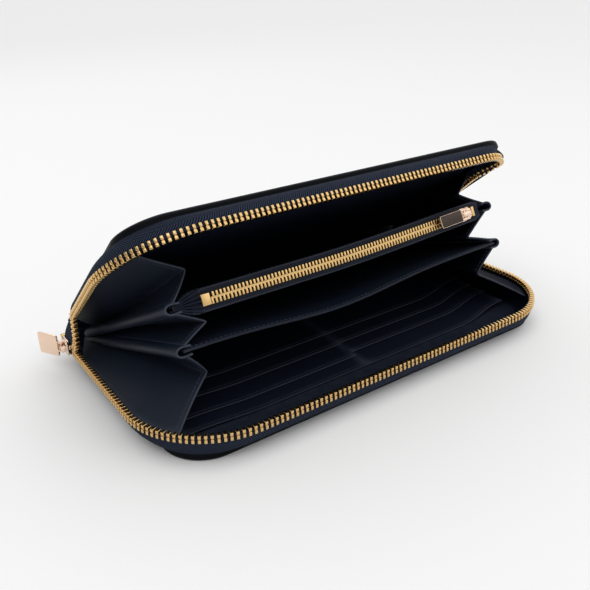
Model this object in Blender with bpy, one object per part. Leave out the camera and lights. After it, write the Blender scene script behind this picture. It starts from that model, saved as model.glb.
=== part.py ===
"""A zip around wallet, lying on its lower cover and held part open.

Units are metres. +X runs along the long side to the right, +Y towards the spine and +Z up. The origin is
the middle of the lower cover's underside. Every layer is drawn as it lies in the shut wallet and then hung
on an empty at the spine, which turns it to its open angle.
"""

import math

import bmesh
import bpy
from mathutils import Vector

# ---- driving dimensions -------------------------------------------------------------------------------
COVER_WIDTH = 0.190
COVER_DEPTH = 0.0984
COVER_CORNER = 0.0175
CLOSED_THICKNESS = 0.0226
LEATHER = 0.0012
BOARD = 0.0008
LINING = 0.0006
GAP = 0.0003
RIM_WIDTH = 0.0014
RIM_HEIGHT = 0.0029

# The common hinge line, just behind the covers' back edges and halfway up the shut wallet.
HINGE_SETBACK = 0.0021
FRONT_Y = -COVER_DEPTH / 2
BACK_Y = COVER_DEPTH / 2
HINGE = Vector((0.0, BACK_Y + HINGE_SETBACK, CLOSED_THICKNESS / 2))

# Open angles, each measured from the body before it in the stack.
PLAIN_DIVIDER_OPEN = math.radians(19.2)
COIN_POCKET_OPEN = math.radians(6.65)
UPPER_COVER_OPEN = math.radians(12.85)

# The main zip: a row of teeth stands proud of each cover on a flared tape.
ROW_HALF_WIDTH = 0.1021
ROW_FRONT_Y = -0.0545
ROW_CORNER = 0.0349
ROW_BACK_Y = BACK_Y - 0.0115
ROW_THICKNESS = 0.0022
LOWER_ROW = (0.0099, 0.0123)
UPPER_ROW = (0.0126, 0.0149)
TAPE_THICKNESS = 0.0007
TAPE_START_INSET = 0.0009
TAPE_STEPS = 5

# Dividers, measured along S from the hinge line towards the zip.
DIVIDER_HALF_WIDTH = 0.082
DIVIDER_BACK_S = 0.012
DIVIDER_FRONT_S = 0.084
DIVIDER_LEATHER = 0.0006
PLAIN_DIVIDER_Z = 0.0081

# Coin pocket.
POCKET_FLOOR_Z = 0.0093
POCKET_FRONT_S = 0.0820
POCKET_MOUTH = 0.0088
POCKET_BACK_THICKNESS = 0.0030
POCKET_END_THICKNESS = 0.0019
POCKET_WALL = 0.0007
POCKET_TAPER_START_X = 0.072
COIN_CHAIN_WIDTH = 0.0045
COIN_CHAIN_THICKNESS = 0.0016
COIN_CHAIN_LEFT_X = -0.0665
COIN_CHAIN_RIGHT_X = 0.0625
COIN_TAPE_THICKNESS = 0.0006
COIN_TAPE_OVERRUN_LEFT = 0.0080
COIN_TAPE_OVERRUN_RIGHT = 0.0130
COIN_CHAIN_PROUD = 0.0002
COIN_BOTTOM_STOP_LENGTH = 0.0036
COIN_TOP_STOP_LENGTH = 0.0018
COIN_SLIDER_SIZE = (0.0080, 0.0062)
COIN_SLIDER_PLATE = 0.0009
COIN_SLIDER_POST = 0.0008
COIN_TAB_SIZE = (0.0120, 0.0056, 0.0008)
COIN_TAB_NECK = 0.0034

# Card slots on the lower cover: how far each step's free edge is from the cover's back edge.
CARD_STEPS_LEFT = (0.0860, 0.0780, 0.0670, 0.0570)
CARD_STEPS_RIGHT = (0.0860, 0.0745, 0.0660, 0.0570)
CARD_LEATHER = 0.00045
CARD_MIDDLE_X = -0.003
CARD_HALF_WIDTH = 0.0815
CARD_BACK_REACH = 0.014
CARD_SEAM = 0.0004
SLIP_POCKET_INSET = 0.0100

# Main zip stops.
STOP_OVERHANG = 0.0003
BOTTOM_STOP_LENGTH = 0.0024
BOTTOM_STOP_HALF_HEIGHT = 0.0025
TOP_STOP_LENGTH = 0.0022

# Main slider and its pull tab.
SLIDER_LENGTH = 0.0092
SLIDER_HEIGHT = 0.0078
SLIDER_PLATE = 0.0010
SLIDER_HALF_GAP = 0.0014
SLIDER_POST = 0.0011
SLIDER_MIDDLE_Y = BACK_Y - 0.0064
SLIDER_MIDDLE_Z = 0.0119
TAB_SIZE = (0.0102, 0.0100, 0.0010)
TAB_NECK = 0.0030
TAB_OPEN = math.radians(120)
TAB_PIN_RISE = 0.0010

# Both sliders: the post between the plates, and the bridge that holds the tab.
SLIDER_LAP = 0.0002
POST_SETBACK = 0.0006
POST_LENGTH = 0.0020
BRIDGE_CLEARANCE = 0.0011
BRIDGE_THICKNESS = 0.0007
BRIDGE_HALF_WIDTH = 0.0011
BRIDGE_REACH = 0.56
BRIDGE_FOOT = 0.0011
CROWN_INSET = 0.0004

# Both pull tabs: two arms pass either side of the bridge.
ARM_NEAR = 0.0016
ARM_FAR = 0.0026
ARM_PAST_PIN = 0.0008
ARM_LAP = 0.0003

# Gussets: three folds at each end.
GUSSET_THICKNESS = 0.0007
GUSSET_BACK_S = 0.022
GUSSET_FRONT_S = 0.0790
GUSSET_COVER_X = 0.0895
GUSSET_DIVIDER_X = 0.0830
GUSSET_COVER_LIFT = 0.0046
GUSSET_EDGE_SHIFT = 0.0016
# Each fold's tip near the front: x, distance from the hinge line and opening angle.
FOLD_LOWER = (0.0730, 0.0796, math.radians(7.3))
FOLD_MIDDLE = (0.0695, 0.0800, math.radians(20.9))
FOLD_UPPER = (0.0710, 0.0795, math.radians(36.0))
# The opening angle that each fold's front and back ends are cut square to.
CUT_LOWER = math.radians(8)
CUT_MIDDLE = math.radians(22)
CUT_UPPER = math.radians(33)

# Spine.
SPINE_STEPS = 10
SPINE_LEATHER_BULGE = 0.0080
SPINE_LINING_BULGE = 0.0060
SPINE_SHAVE = 0.0001
SPINE_LINING_INSET = 0.0040

CORNER_STEPS = 8


# ---- scene and materials ------------------------------------------------------------------------------
def clear_scene():
    for item in list(bpy.data.objects):
        bpy.data.objects.remove(item, do_unlink=True)


def material(name, colour, roughness, metallic=0.0):
    found = bpy.data.materials.get(name)
    if found:
        return found
    made = bpy.data.materials.new(name)
    made.use_nodes = True
    shader = made.node_tree.nodes["Principled BSDF"]
    shader.inputs["Base Color"].default_value = (*colour, 1.0)
    shader.inputs["Roughness"].default_value = roughness
    shader.inputs["Metallic"].default_value = metallic
    return made


def leather():
    return material("navy_leather", (0.012, 0.018, 0.032), 0.45)


def lining():
    return material("navy_lining", (0.010, 0.015, 0.028), 0.6)


def board():
    return material("stiffener_board", (0.35, 0.30, 0.22), 0.85)


def tape():
    return material("zip_tape", (0.020, 0.028, 0.050), 0.85)


def brass():
    return material("brass", (0.83, 0.60, 0.28), 0.25, 1.0)


def rose_gold():
    return material("rose_gold", (0.90, 0.66, 0.50), 0.18, 1.0)


# ---- frames -------------------------------------------------------------------------------------------
def joint_frame(name, at, parent=None, rotation=(0.0, 0.0, 0.0)):
    """An empty on a joint's axis. `at` is the place in the shut wallet."""
    empty = bpy.data.objects.new(name, None)
    bpy.context.collection.objects.link(empty)
    empty["shut_place"] = tuple(at)
    empty.rotation_euler = rotation
    if parent:
        empty.parent = parent
        empty.location = Vector(at) - Vector(parent["shut_place"])
    else:
        empty.location = at
    return empty


def solid(name, build, finish, frame):
    """One closed body in its own object, drawn in the shut wallet's coordinates and hung on its frame."""
    mesh = bpy.data.meshes.new(name)
    work = bmesh.new()
    build(work)
    bmesh.ops.recalc_face_normals(work, faces=work.faces)
    bmesh.ops.translate(work, verts=work.verts, vec=-Vector(frame["shut_place"]))
    work.to_mesh(mesh)
    work.free()
    mesh.materials.append(finish)
    made = bpy.data.objects.new(name, mesh)
    bpy.context.collection.objects.link(made)
    made.parent = frame
    return made


def unite(target, *helpers):
    """Joins helper shapes to the target with exact Booleans; the helpers stay as wire guides."""
    for helper in helpers:
        helper.hide_render = True
        helper.display_type = "WIRE"
        join = target.modifiers.new(f"join_{helper.name}", "BOOLEAN")
        join.operation = "UNION"
        join.object = helper
    return target


# ---- shape builders -----------------------------------------------------------------------------------
def prism(outline, low, high):
    """A flat plate with the given outline between two heights."""

    def build(work):
        bottom = [work.verts.new((x, y, low)) for x, y in outline]
        top = [work.verts.new((x, y, high)) for x, y in outline]
        work.faces.new(bottom)
        work.faces.new(top)
        for i in range(len(outline)):
            j = (i + 1) % len(outline)
            work.faces.new((bottom[i], bottom[j], top[j], top[i]))

    return build


def block(low, high):
    (x0, y0, z0), (x1, y1, z1) = low, high
    return prism([(x0, y0), (x1, y0), (x1, y1), (x0, y1)], z0, z1)


def loft(rings):
    """A closed body through a row of rings, capped at both ends."""

    def build(work):
        made = [[work.verts.new(point) for point in ring] for ring in rings]
        for near, far in zip(made, made[1:]):
            for i in range(len(near)):
                j = (i + 1) % len(near)
                work.faces.new((near[i], near[j], far[j], far[i]))
        work.faces.new(made[0])
        work.faces.new(made[-1])

    return build


def height_field(columns, rows, place):
    """A sheet over a grid: place(column, row, side) gives its lower (0) and upper (1) surface."""

    def build(work):
        sides = [
            [[work.verts.new(place(c, r, side)) for r in rows] for c in columns]
            for side in (0, 1)
        ]
        last_c, last_r = len(columns) - 1, len(rows) - 1
        for c in range(last_c):
            for r in range(last_r):
                for grid in sides:
                    work.faces.new((grid[c][r], grid[c + 1][r], grid[c + 1][r + 1], grid[c][r + 1]))
        lower, upper = sides
        for c in range(last_c):
            for r in (0, last_r):
                work.faces.new((lower[c][r], lower[c + 1][r], upper[c + 1][r], upper[c][r]))
        for r in range(last_r):
            for c in (0, last_c):
                work.faces.new((lower[c][r], lower[c][r + 1], upper[c][r + 1], upper[c][r]))

    return build


def spread(low, high, count):
    return [low + (high - low) * i / count for i in range(count + 1)]


def u_path(half_width, front, corner, back):
    """Along a cover's free edges: back left, round both front corners, back right."""
    points = [(-half_width, back)]
    for side in (-1, 1):
        for i in range(CORNER_STEPS + 1):
            turn = math.pi / 2 * i / CORNER_STEPS
            if side < 0:
                across, along = 1 - math.cos(turn), 1 - math.sin(turn)
            else:
                across, along = 1 - math.sin(turn), 1 - math.cos(turn)
            points.append((side * (half_width - corner * across), front + corner * along))
    points.append((half_width, back))
    return points


def cover_outline(inset):
    corner = COVER_CORNER - inset
    return u_path(COVER_WIDTH / 2 - inset, FRONT_Y + inset, corner, BACK_Y)


def outward(path):
    """Unit normals of a u_path in plan, pointing away from the wallet."""
    normals = []
    for i in range(len(path)):
        (x0, y0), (x1, y1) = path[max(i - 1, 0)], path[min(i + 1, len(path) - 1)]
        along = Vector((x1 - x0, y1 - y0)).normalized()
        normals.append(Vector((along.y, -along.x)))
    return normals


# ---- covers -------------------------------------------------------------------------------------------
def tray(outer, inner, base, floor, rim):
    """A plate whose edge is turned up to a rim on the three free sides, open at the spine."""

    def build(work):
        n = len(outer)
        foot = [work.verts.new((x, y, base)) for x, y in outer]
        edge = [work.verts.new((x, y, rim)) for x, y in outer]
        lip = [work.verts.new((x, y, rim)) for x, y in inner]
        bed = [work.verts.new((x, y, floor)) for x, y in inner]
        for low, high in ((foot, edge), (edge, lip), (lip, bed)):
            for i in range(n - 1):
                work.faces.new((low[i], low[i + 1], high[i + 1], high[i]))
        work.faces.new(foot)
        work.faces.new(bed)
        work.faces.new((foot[0], edge[0], lip[0], bed[0], bed[-1], lip[-1], edge[-1], foot[-1]))

    return build


def cover(prefix, frame, height):
    """A cover's leather, stiffener and lining. height() maps a height above the outer face to Z."""
    outer = cover_outline(0.0)
    inner = cover_outline(RIM_WIDTH)
    solid(
        f"{prefix}_cover_leather",
        tray(outer, inner, height(0.0), height(LEATHER), height(RIM_HEIGHT)),
        leather(),
        frame,
    )
    inside = cover_outline(RIM_WIDTH + GAP)
    board_low = LEATHER + GAP
    lining_low = board_low + BOARD + GAP
    solid(
        f"{prefix}_cover_board",
        prism(inside, height(board_low), height(board_low + BOARD)),
        board(),
        frame,
    )
    solid(
        f"{prefix}_cover_lining",
        prism(inside, height(lining_low), height(lining_low + LINING)),
        lining(),
        frame,
    )


def card_panels(frame):
    """Stepped card slots in two columns; the longest panel lies lowest."""
    columns = (
        ("left", -CARD_HALF_WIDTH, CARD_MIDDLE_X - CARD_SEAM, CARD_STEPS_LEFT),
        ("right", CARD_MIDDLE_X + CARD_SEAM, CARD_HALF_WIDTH, CARD_STEPS_RIGHT),
    )
    base = LEATHER + GAP + BOARD + GAP + LINING + GAP
    for side, x0, x1, steps in columns:
        for level, reach in enumerate(steps):
            low = base + level * (CARD_LEATHER + GAP)
            solid(
                f"card_slot_{side}_{level + 1}",
                block((x0, BACK_Y - reach, low), (x1, BACK_Y - CARD_BACK_REACH, low + CARD_LEATHER)),
                lining(),
                frame,
            )


def slip_pocket(frame):
    """The flat pocket inside the upper cover."""
    low = CLOSED_THICKNESS - (LEATHER + GAP + BOARD + GAP + LINING + GAP) - DIVIDER_LEATHER
    near, far = FRONT_Y + SLIP_POCKET_INSET, BACK_Y - CARD_BACK_REACH
    solid(
        "upper_slip_pocket",
        block((-CARD_HALF_WIDTH, near, low), (CARD_HALF_WIDTH, far, low + DIVIDER_LEATHER)),
        lining(),
        frame,
    )


# ---- main zip -----------------------------------------------------------------------------------------
def row_path():
    return u_path(ROW_HALF_WIDTH, ROW_FRONT_Y, ROW_CORNER, ROW_BACK_Y)


def tape_start():
    inset = TAPE_START_INSET
    return u_path(COVER_WIDTH / 2 - inset, FRONT_Y + inset, COVER_CORNER - inset, ROW_BACK_Y)


def zip_tape(name, frame, cover_z, row_z):
    """A tape that flares out from the cover's rim and turns upright to carry the teeth."""
    start, end = tape_start(), row_path()
    normals = outward(end)
    rings = []
    for (x0, y0), (x1, y1), normal in zip(start, end, normals):
        sides = {-1: [], 1: []}
        for i in range(TAPE_STEPS + 1):
            t = i / TAPE_STEPS
            out = 0.5 * t + 0.5 * math.sin(math.pi / 2 * t)
            rise = 0.5 * t + 0.5 * (1 - math.cos(math.pi / 2 * t))
            z = cover_z + (row_z - cover_z) * rise
            for side, points in sides.items():
                shift = normal * side * TAPE_THICKNESS / 2
                points.append((x0 + (x1 - x0) * out + shift.x, y0 + (y1 - y0) * out + shift.y, z))
        rings.append(sides[-1] + sides[1][::-1])
    solid(name, loft(rings), tape(), frame)


def zip_row(name, frame, low, high):
    """A row of teeth, drawn as the bar that their roots fill."""
    path = row_path()
    rings = []
    for (x, y), normal in zip(path, outward(path)):
        shift = normal * ROW_THICKNESS / 2
        rings.append(
            [
                (x - shift.x, y - shift.y, low),
                (x + shift.x, y + shift.y, low),
                (x + shift.x, y + shift.y, high),
                (x - shift.x, y - shift.y, high),
            ]
        )
    solid(name, loft(rings), brass(), frame)


def zip_stops(root, upper):
    """The stop behind the slider at the left and the two top stops at the right."""
    half = ROW_THICKNESS / 2 + STOP_OVERHANG
    stop_y = SLIDER_MIDDLE_Y + SLIDER_LENGTH / 2 + GAP
    solid(
        "zip_bottom_stop",
        block(
            (-ROW_HALF_WIDTH - half, stop_y, SLIDER_MIDDLE_Z - BOTTOM_STOP_HALF_HEIGHT),
            (
                -ROW_HALF_WIDTH + half,
                stop_y + BOTTOM_STOP_LENGTH,
                SLIDER_MIDDLE_Z + BOTTOM_STOP_HALF_HEIGHT,
            ),
        ),
        brass(),
        root,
    )
    for name, frame, (low, high) in (
        ("lower_zip_top_stop", root, LOWER_ROW),
        ("upper_zip_top_stop", upper, UPPER_ROW),
    ):
        solid(
            name,
            block(
                (ROW_HALF_WIDTH - half, ROW_BACK_Y + GAP, low),
                (ROW_HALF_WIDTH + half, ROW_BACK_Y + GAP + TOP_STOP_LENGTH, high),
            ),
            brass(),
            frame,
        )


def clamp_slider(name, frame, middle, size, plate, half_gap, along, across, out, post, finish):
    """A zip slider: two plates either side of the chain, joined by a post, with a bridge on the outer one.

    along, across and out are unit axes: down the chain, over its width and away from the wallet.
    """
    length, width = size

    def bar(low, high):
        corners = [
            middle + along * a + across * b + out * c
            for c in (low[2], high[2])
            for a, b in ((low[0], low[1]), (high[0], low[1]), (high[0], high[1]), (low[0], high[1]))
        ]
        return loft([corners[:4], corners[4:]])

    half_l, half_w = length / 2, width / 2
    top = half_gap + plate
    lap = SLIDER_LAP
    post_start = POST_SETBACK - half_l
    body = solid(name, bar((-half_l, -half_w, half_gap), (half_l, half_w, top)), finish, frame)
    inner = solid(
        f"{name}_inner_plate",
        bar((-half_l, -half_w, -top), (half_l, half_w, -half_gap)),
        finish,
        frame,
    )
    joint = solid(
        f"{name}_post",
        bar((post_start, -post, -half_gap - lap), (post_start + POST_LENGTH, post, half_gap + lap)),
        finish,
        frame,
    )
    bridge_low = top + BRIDGE_CLEARANCE
    bridge_high = bridge_low + BRIDGE_THICKNESS
    span, wide = half_l * BRIDGE_REACH, BRIDGE_HALF_WIDTH
    feet = [
        solid(
            f"{name}_bridge_{tag}",
            bar((a, -wide, top - lap), (a + BRIDGE_FOOT, wide, bridge_high)),
            finish,
            frame,
        )
        for tag, a in (("front", -span), ("rear", span - BRIDGE_FOOT))
    ]
    crown = solid(
        f"{name}_bridge_crown",
        bar((CROWN_INSET - span, -wide, bridge_low), (span - CROWN_INSET, wide, bridge_high)),
        finish,
        frame,
    )
    return unite(body, inner, joint, *feet, crown)


def pull_tab(name, frame, pivot, reach, across, thick, size, neck, finish):
    """A plain rectangular tab on a narrow neck that ends round the hinge pin line."""
    length, width, thickness = size

    def bar(low, high, half):
        rings = []
        for a in (low, high):
            start = pivot + reach * a
            rings.append(
                [
                    start + across * (sx * half) + thick * (sz * thickness / 2)
                    for sx, sz in ((-1, -1), (1, -1), (1, 1), (-1, 1))
                ]
            )
        return loft(rings)

    plate = solid(name, bar(neck, neck + length, width / 2), finish, frame)
    arms = []
    for tag, side in (("low", -1), ("high", 1)):
        arm_rings = []
        for a in (-ARM_PAST_PIN, neck + ARM_LAP):
            start = pivot + reach * a
            arm_rings.append(
                [
                    start + across * (side * b) + thick * (c * thickness / 2)
                    for b, c in ((ARM_NEAR, -1), (ARM_FAR, -1), (ARM_FAR, 1), (ARM_NEAR, 1))
                ]
            )
        arms.append(solid(f"{name}_arm_{tag}", loft(arm_rings), finish, frame))
    return unite(plate, *arms)


def main_slider(root):
    """The main slider at the chain's left end, with its tab on a vertical pin line."""
    middle = Vector((-ROW_HALF_WIDTH, SLIDER_MIDDLE_Y, SLIDER_MIDDLE_Z))
    frame = joint_frame("main_slider_frame", middle, root)
    forward, up, out = Vector((0, 1, 0)), Vector((0, 0, 1)), Vector((-1, 0, 0))
    size = (SLIDER_LENGTH, SLIDER_HEIGHT)
    clamp_slider(
        "main_slider", frame, middle, size, SLIDER_PLATE, SLIDER_HALF_GAP, forward, up, out, SLIDER_POST,
        rose_gold(),
    )
    pivot = middle + out * (SLIDER_HALF_GAP + SLIDER_PLATE + TAB_PIN_RISE)
    tab_frame = joint_frame("main_tab_frame", pivot, frame, (0.0, 0.0, TAB_OPEN))
    reach, thick = Vector((1, 0, 0)), Vector((0, 1, 0))
    pull_tab("main_pull_tab", tab_frame, pivot, reach, up, thick, TAB_SIZE, TAB_NECK, rose_gold())


# ---- dividers and coin pocket -------------------------------------------------------------------------
def divider_y(s):
    return HINGE.y - s


def plain_divider(frame):
    """Two leathers back to back."""
    half = DIVIDER_HALF_WIDTH
    low = PLAIN_DIVIDER_Z - GAP / 2 - DIVIDER_LEATHER
    for name, z in (("lower", low), ("upper", PLAIN_DIVIDER_Z + GAP / 2)):
        solid(
            f"plain_divider_{name}_leather",
            block(
                (-half, divider_y(DIVIDER_FRONT_S), z),
                (half, divider_y(DIVIDER_BACK_S), z + DIVIDER_LEATHER),
            ),
            leather(),
            frame,
        )


def pocket_spread(s):
    """The coin pocket's full thickness, away from its ends: thin at the back and thick at the zip."""
    back = (s - DIVIDER_BACK_S) / (POCKET_FRONT_S - DIVIDER_BACK_S)
    return POCKET_BACK_THICKNESS + (POCKET_MOUTH - POCKET_BACK_THICKNESS) * back


def pocket_middle(s):
    return POCKET_FLOOR_Z + pocket_spread(s) / 2


def pocket_thickness(x, s):
    """The thickness also dies away towards both ends, where the walls are stitched together."""
    end = max(0.0, abs(x) - POCKET_TAPER_START_X) / (DIVIDER_HALF_WIDTH - POCKET_TAPER_START_X)
    fade = end * end * (3 - 2 * end)
    return pocket_spread(s) * (1 - fade) + POCKET_END_THICKNESS * fade


def pocket_wall(name, frame, side_sign):
    """The lower (-1) or upper (1) wall of the coin pocket."""
    half = DIVIDER_HALF_WIDTH
    tail = POCKET_TAPER_START_X
    columns = spread(-half, -tail, 5)[:-1] + spread(-tail, tail, 4) + spread(tail, half, 5)[1:]

    def place(x, s, surface):
        outer = pocket_thickness(x, s) / 2
        reach = outer - POCKET_WALL * (surface == (side_sign < 0))
        return (x, divider_y(s), pocket_middle(s) + side_sign * reach)

    solid(name, height_field(columns, spread(DIVIDER_BACK_S, POCKET_FRONT_S, 4), place), leather(), frame)


def coin_zip(frame):
    """Tapes, chain, stops and slider along the coin pocket's free edge."""
    middle_z = pocket_middle(POCKET_FRONT_S)
    half_chain = COIN_CHAIN_WIDTH / 2
    tape_near = divider_y(POCKET_FRONT_S + GAP)
    tape_far = tape_near - COIN_TAPE_THICKNESS
    left = COIN_CHAIN_LEFT_X - COIN_TAPE_OVERRUN_LEFT
    right = COIN_CHAIN_RIGHT_X + COIN_TAPE_OVERRUN_RIGHT
    for name, low, high in (
        ("coin_zip_lower_tape", middle_z - POCKET_MOUTH / 2, middle_z - half_chain - GAP),
        ("coin_zip_upper_tape", middle_z + half_chain + GAP, middle_z + POCKET_MOUTH / 2),
    ):
        solid(name, block((left, tape_far, low), (right, tape_near, high)), tape(), frame)
    chain_near = tape_near + COIN_CHAIN_PROUD
    chain_far = chain_near - COIN_CHAIN_THICKNESS
    low, high = middle_z - half_chain, middle_z + half_chain
    solid(
        "coin_zip_chain",
        block((COIN_CHAIN_LEFT_X, chain_far, low), (COIN_CHAIN_RIGHT_X, chain_near, high)),
        brass(),
        frame,
    )
    stop_right = COIN_CHAIN_LEFT_X - GAP
    solid(
        "coin_zip_bottom_stop",
        block(
            (stop_right - COIN_BOTTOM_STOP_LENGTH, chain_far - STOP_OVERHANG, low),
            (stop_right, chain_near, high),
        ),
        brass(),
        frame,
    )
    slider_left = COIN_CHAIN_RIGHT_X + GAP
    length = COIN_SLIDER_SIZE[0]
    slider_middle = Vector((slider_left + length / 2, (chain_far + chain_near) / 2, middle_z))
    stop_left = slider_left + length + GAP
    solid(
        "coin_zip_top_stop",
        block((stop_left, chain_far, low), (stop_left + COIN_TOP_STOP_LENGTH, chain_near, high)),
        brass(),
        frame,
    )
    return slider_middle


def coin_slider(pocket, middle):
    frame = joint_frame("coin_slider_frame", middle, pocket)
    along, across, out = Vector((1, 0, 0)), Vector((0, 0, 1)), Vector((0, -1, 0))
    half_gap = COIN_CHAIN_THICKNESS / 2 + GAP
    clamp_slider(
        "coin_slider", frame, middle, COIN_SLIDER_SIZE, COIN_SLIDER_PLATE, half_gap, along, across, out,
        COIN_SLIDER_POST, rose_gold(),
    )
    pivot = middle + out * (half_gap + COIN_SLIDER_PLATE + TAB_PIN_RISE)
    tab_frame = joint_frame("coin_tab_frame", pivot, frame)
    reach, thick = Vector((-1, 0, 0)), Vector((0, -1, 0))
    finish = rose_gold()
    pull_tab("coin_pull_tab", tab_frame, pivot, reach, across, thick, COIN_TAB_SIZE, COIN_TAB_NECK, finish)


# ---- gussets and spine --------------------------------------------------------------------------------
def turned(y, z, angle):
    """A place in the shut wallet, turned open about the hinge line."""
    dy, dz = y - HINGE.y, z - HINGE.z
    c, s = math.cos(angle), math.sin(angle)
    return HINGE.y + dy * c + dz * s, HINGE.z - dy * s + dz * c


def shut_place(point, angle):
    """Takes an open place back to the shut wallet, for a body that opens by this angle."""
    y, z = turned(point.y, point.z, -angle)
    return Vector((point.x, y, z))


def around_hinge(x, reach, angle):
    """An open place, this far from the hinge line and this many radians up from the lower cover."""
    return Vector((x, HINGE.y - reach * math.cos(angle), HINGE.z + reach * math.sin(angle)))


def meeting_point(first, second, third):
    """The point shared by three planes, each a unit normal and its distance from the origin."""
    (a, reach_a), (b, reach_b), (c, reach_c) = first, second, third
    total = reach_a * b.cross(c) + reach_b * c.cross(a) + reach_c * a.cross(b)
    return total / a.dot(b.cross(c))


def panel_planes(line, tip):
    """Both faces and the stitched end of a flat gusset panel that runs from a line to the fold's tip."""
    back, front = line
    run = front - back
    normal = run.cross(tip - back).normalized()
    if normal.x < 0:
        normal = -normal
    middle = normal.dot(tip)
    half = GUSSET_THICKNESS / 2
    edge = run.cross(normal).normalized()
    return (normal, middle + half), (normal, middle - half), (edge, edge.dot(back))


def gusset(name, frame, frame_angle, side, near_line, tip, far_line, cut_angle):
    """One V fold of a gusset: two flat panels that share a fold. Each line has a back and a front end."""
    near_out, near_in, near_edge = panel_planes(near_line, tip)
    far_out, far_in, far_edge = panel_planes(far_line, tip)
    square = Vector((0, -math.cos(cut_angle), math.sin(cut_angle)))
    rings = []
    for s in (GUSSET_BACK_S, GUSSET_FRONT_S):
        cut = (square, square.dot(around_hinge(0, s, cut_angle)))
        ring = [
            meeting_point(near_out, near_edge, cut),
            meeting_point(near_out, far_out, cut),
            meeting_point(far_out, far_edge, cut),
            meeting_point(far_in, far_edge, cut),
            meeting_point(near_in, far_in, cut),
            meeting_point(near_in, near_edge, cut),
        ]
        rings.append([shut_place(Vector((side * p.x, p.y, p.z)), frame_angle) for p in ring])
    solid(name, loft(rings), leather(), frame)


def gussets(root, plain, coin):
    plain_angle = PLAIN_DIVIDER_OPEN
    coin_angle = plain_angle + COIN_POCKET_OPEN
    cover_angle = coin_angle + UPPER_COVER_OPEN
    shift = GUSSET_EDGE_SHIFT

    def line(angle, x, height):
        """Where a gusset is stitched to a body: height gives the shut z for each S."""
        ends = (GUSSET_BACK_S, GUSSET_FRONT_S)
        return [Vector((x, *turned(divider_y(s), height(s), angle))) for s in ends]

    def divider_line(sign):
        return line(plain_angle, GUSSET_DIVIDER_X, lambda s: PLAIN_DIVIDER_Z + sign * shift)

    def pocket_line(sign):
        return line(coin_angle, GUSSET_DIVIDER_X, lambda s: pocket_middle(s) + sign * shift)

    lower_line = line(0.0, GUSSET_COVER_X, lambda s: GUSSET_COVER_LIFT)
    upper_line = line(cover_angle, GUSSET_COVER_X, lambda s: CLOSED_THICKNESS - GUSSET_COVER_LIFT)
    folds = (
        ("lower", root, 0.0, lower_line, FOLD_LOWER, divider_line(-1), CUT_LOWER),
        ("middle", plain, plain_angle, divider_line(1), FOLD_MIDDLE, pocket_line(-1), CUT_MIDDLE),
        ("upper", coin, coin_angle, pocket_line(1), FOLD_UPPER, upper_line, CUT_UPPER),
    )
    for side, hand in (("left", -1), ("right", 1)):
        for level, frame, angle, near, fold, far, cut in folds:
            name = f"{side}_gusset_{level}"
            gusset(name, frame, angle, hand, near, around_hinge(*fold), far, cut)


def spine_layer(name, root, finish, half_width, depth, thickness, bulge):
    """One layer of the spine, curving from the lower cover's back edge up to the open upper cover's."""
    cover_angle = PLAIN_DIVIDER_OPEN + COIN_POCKET_OPEN + UPPER_COVER_OPEN
    start = Vector((BACK_Y + GAP, depth))
    end = Vector(turned(BACK_Y + GAP, CLOSED_THICKNESS - depth, cover_angle))
    leave = Vector((1, 0)) * bulge
    arrive = Vector((math.cos(cover_angle), -math.sin(cover_angle))) * bulge
    curve = []
    for t in spread(0.0, 1.0, SPINE_STEPS):
        a, b, c, d = (1 - t) ** 3, 3 * t * (1 - t) ** 2, 3 * t * t * (1 - t), t**3
        curve.append(a * start + b * (start + leave) + c * (end + arrive) + d * end)
    inner, outer = [], []
    for i, point in enumerate(curve):
        along = (curve[min(i + 1, SPINE_STEPS)] - curve[max(i - 1, 0)]).normalized()
        if i == 0:
            along = Vector((1, 0))
        if i == SPINE_STEPS:
            along = -arrive.normalized()
        normal = Vector((along.y, -along.x)) * thickness / 2
        outer.append(point + normal)
        inner.append(point - normal)
    outline = inner + outer[::-1]
    rings = [[Vector((x, p.x, p.y)) for p in outline] for x in (-half_width, half_width)]
    solid(name, loft(rings), finish, root)


def spine(root):
    half = COVER_WIDTH / 2
    thickness = LEATHER - SPINE_SHAVE
    depth = LEATHER - thickness / 2
    spine_layer("spine_leather", root, leather(), half, depth, thickness, SPINE_LEATHER_BULGE)
    inset = half - SPINE_LINING_INSET
    lining_depth = LEATHER + GAP + BOARD + GAP + LINING / 2
    spine_layer("spine_lining", root, lining(), inset, lining_depth, LINING, SPINE_LINING_BULGE)


# ---- the wallet ---------------------------------------------------------------------------------------
def main():
    clear_scene()
    root = joint_frame("lower_cover_frame", (0.0, 0.0, 0.0))
    plain = joint_frame("plain_divider_frame", HINGE, root, (-PLAIN_DIVIDER_OPEN, 0.0, 0.0))
    coin = joint_frame("coin_pocket_frame", HINGE, plain, (-COIN_POCKET_OPEN, 0.0, 0.0))
    upper = joint_frame("upper_cover_frame", HINGE, coin, (-UPPER_COVER_OPEN, 0.0, 0.0))

    cover("lower", root, lambda h: h)
    cover("upper", upper, lambda h: CLOSED_THICKNESS - h)
    card_panels(root)
    slip_pocket(upper)
    zip_tape("lower_zip_tape", root, RIM_HEIGHT + GAP, LOWER_ROW[0] - GAP)
    zip_tape("upper_zip_tape", upper, CLOSED_THICKNESS - RIM_HEIGHT - GAP, UPPER_ROW[1] + GAP)
    zip_row("lower_zip_teeth", root, *LOWER_ROW)
    zip_row("upper_zip_teeth", upper, *UPPER_ROW)
    zip_stops(root, upper)
    main_slider(root)
    plain_divider(plain)
    pocket_wall("coin_pocket_lower_wall", coin, -1)
    pocket_wall("coin_pocket_upper_wall", coin, 1)
    coin_slider(coin, coin_zip(coin))
    gussets(root, plain, coin)
    spine(root)


main()
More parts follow.
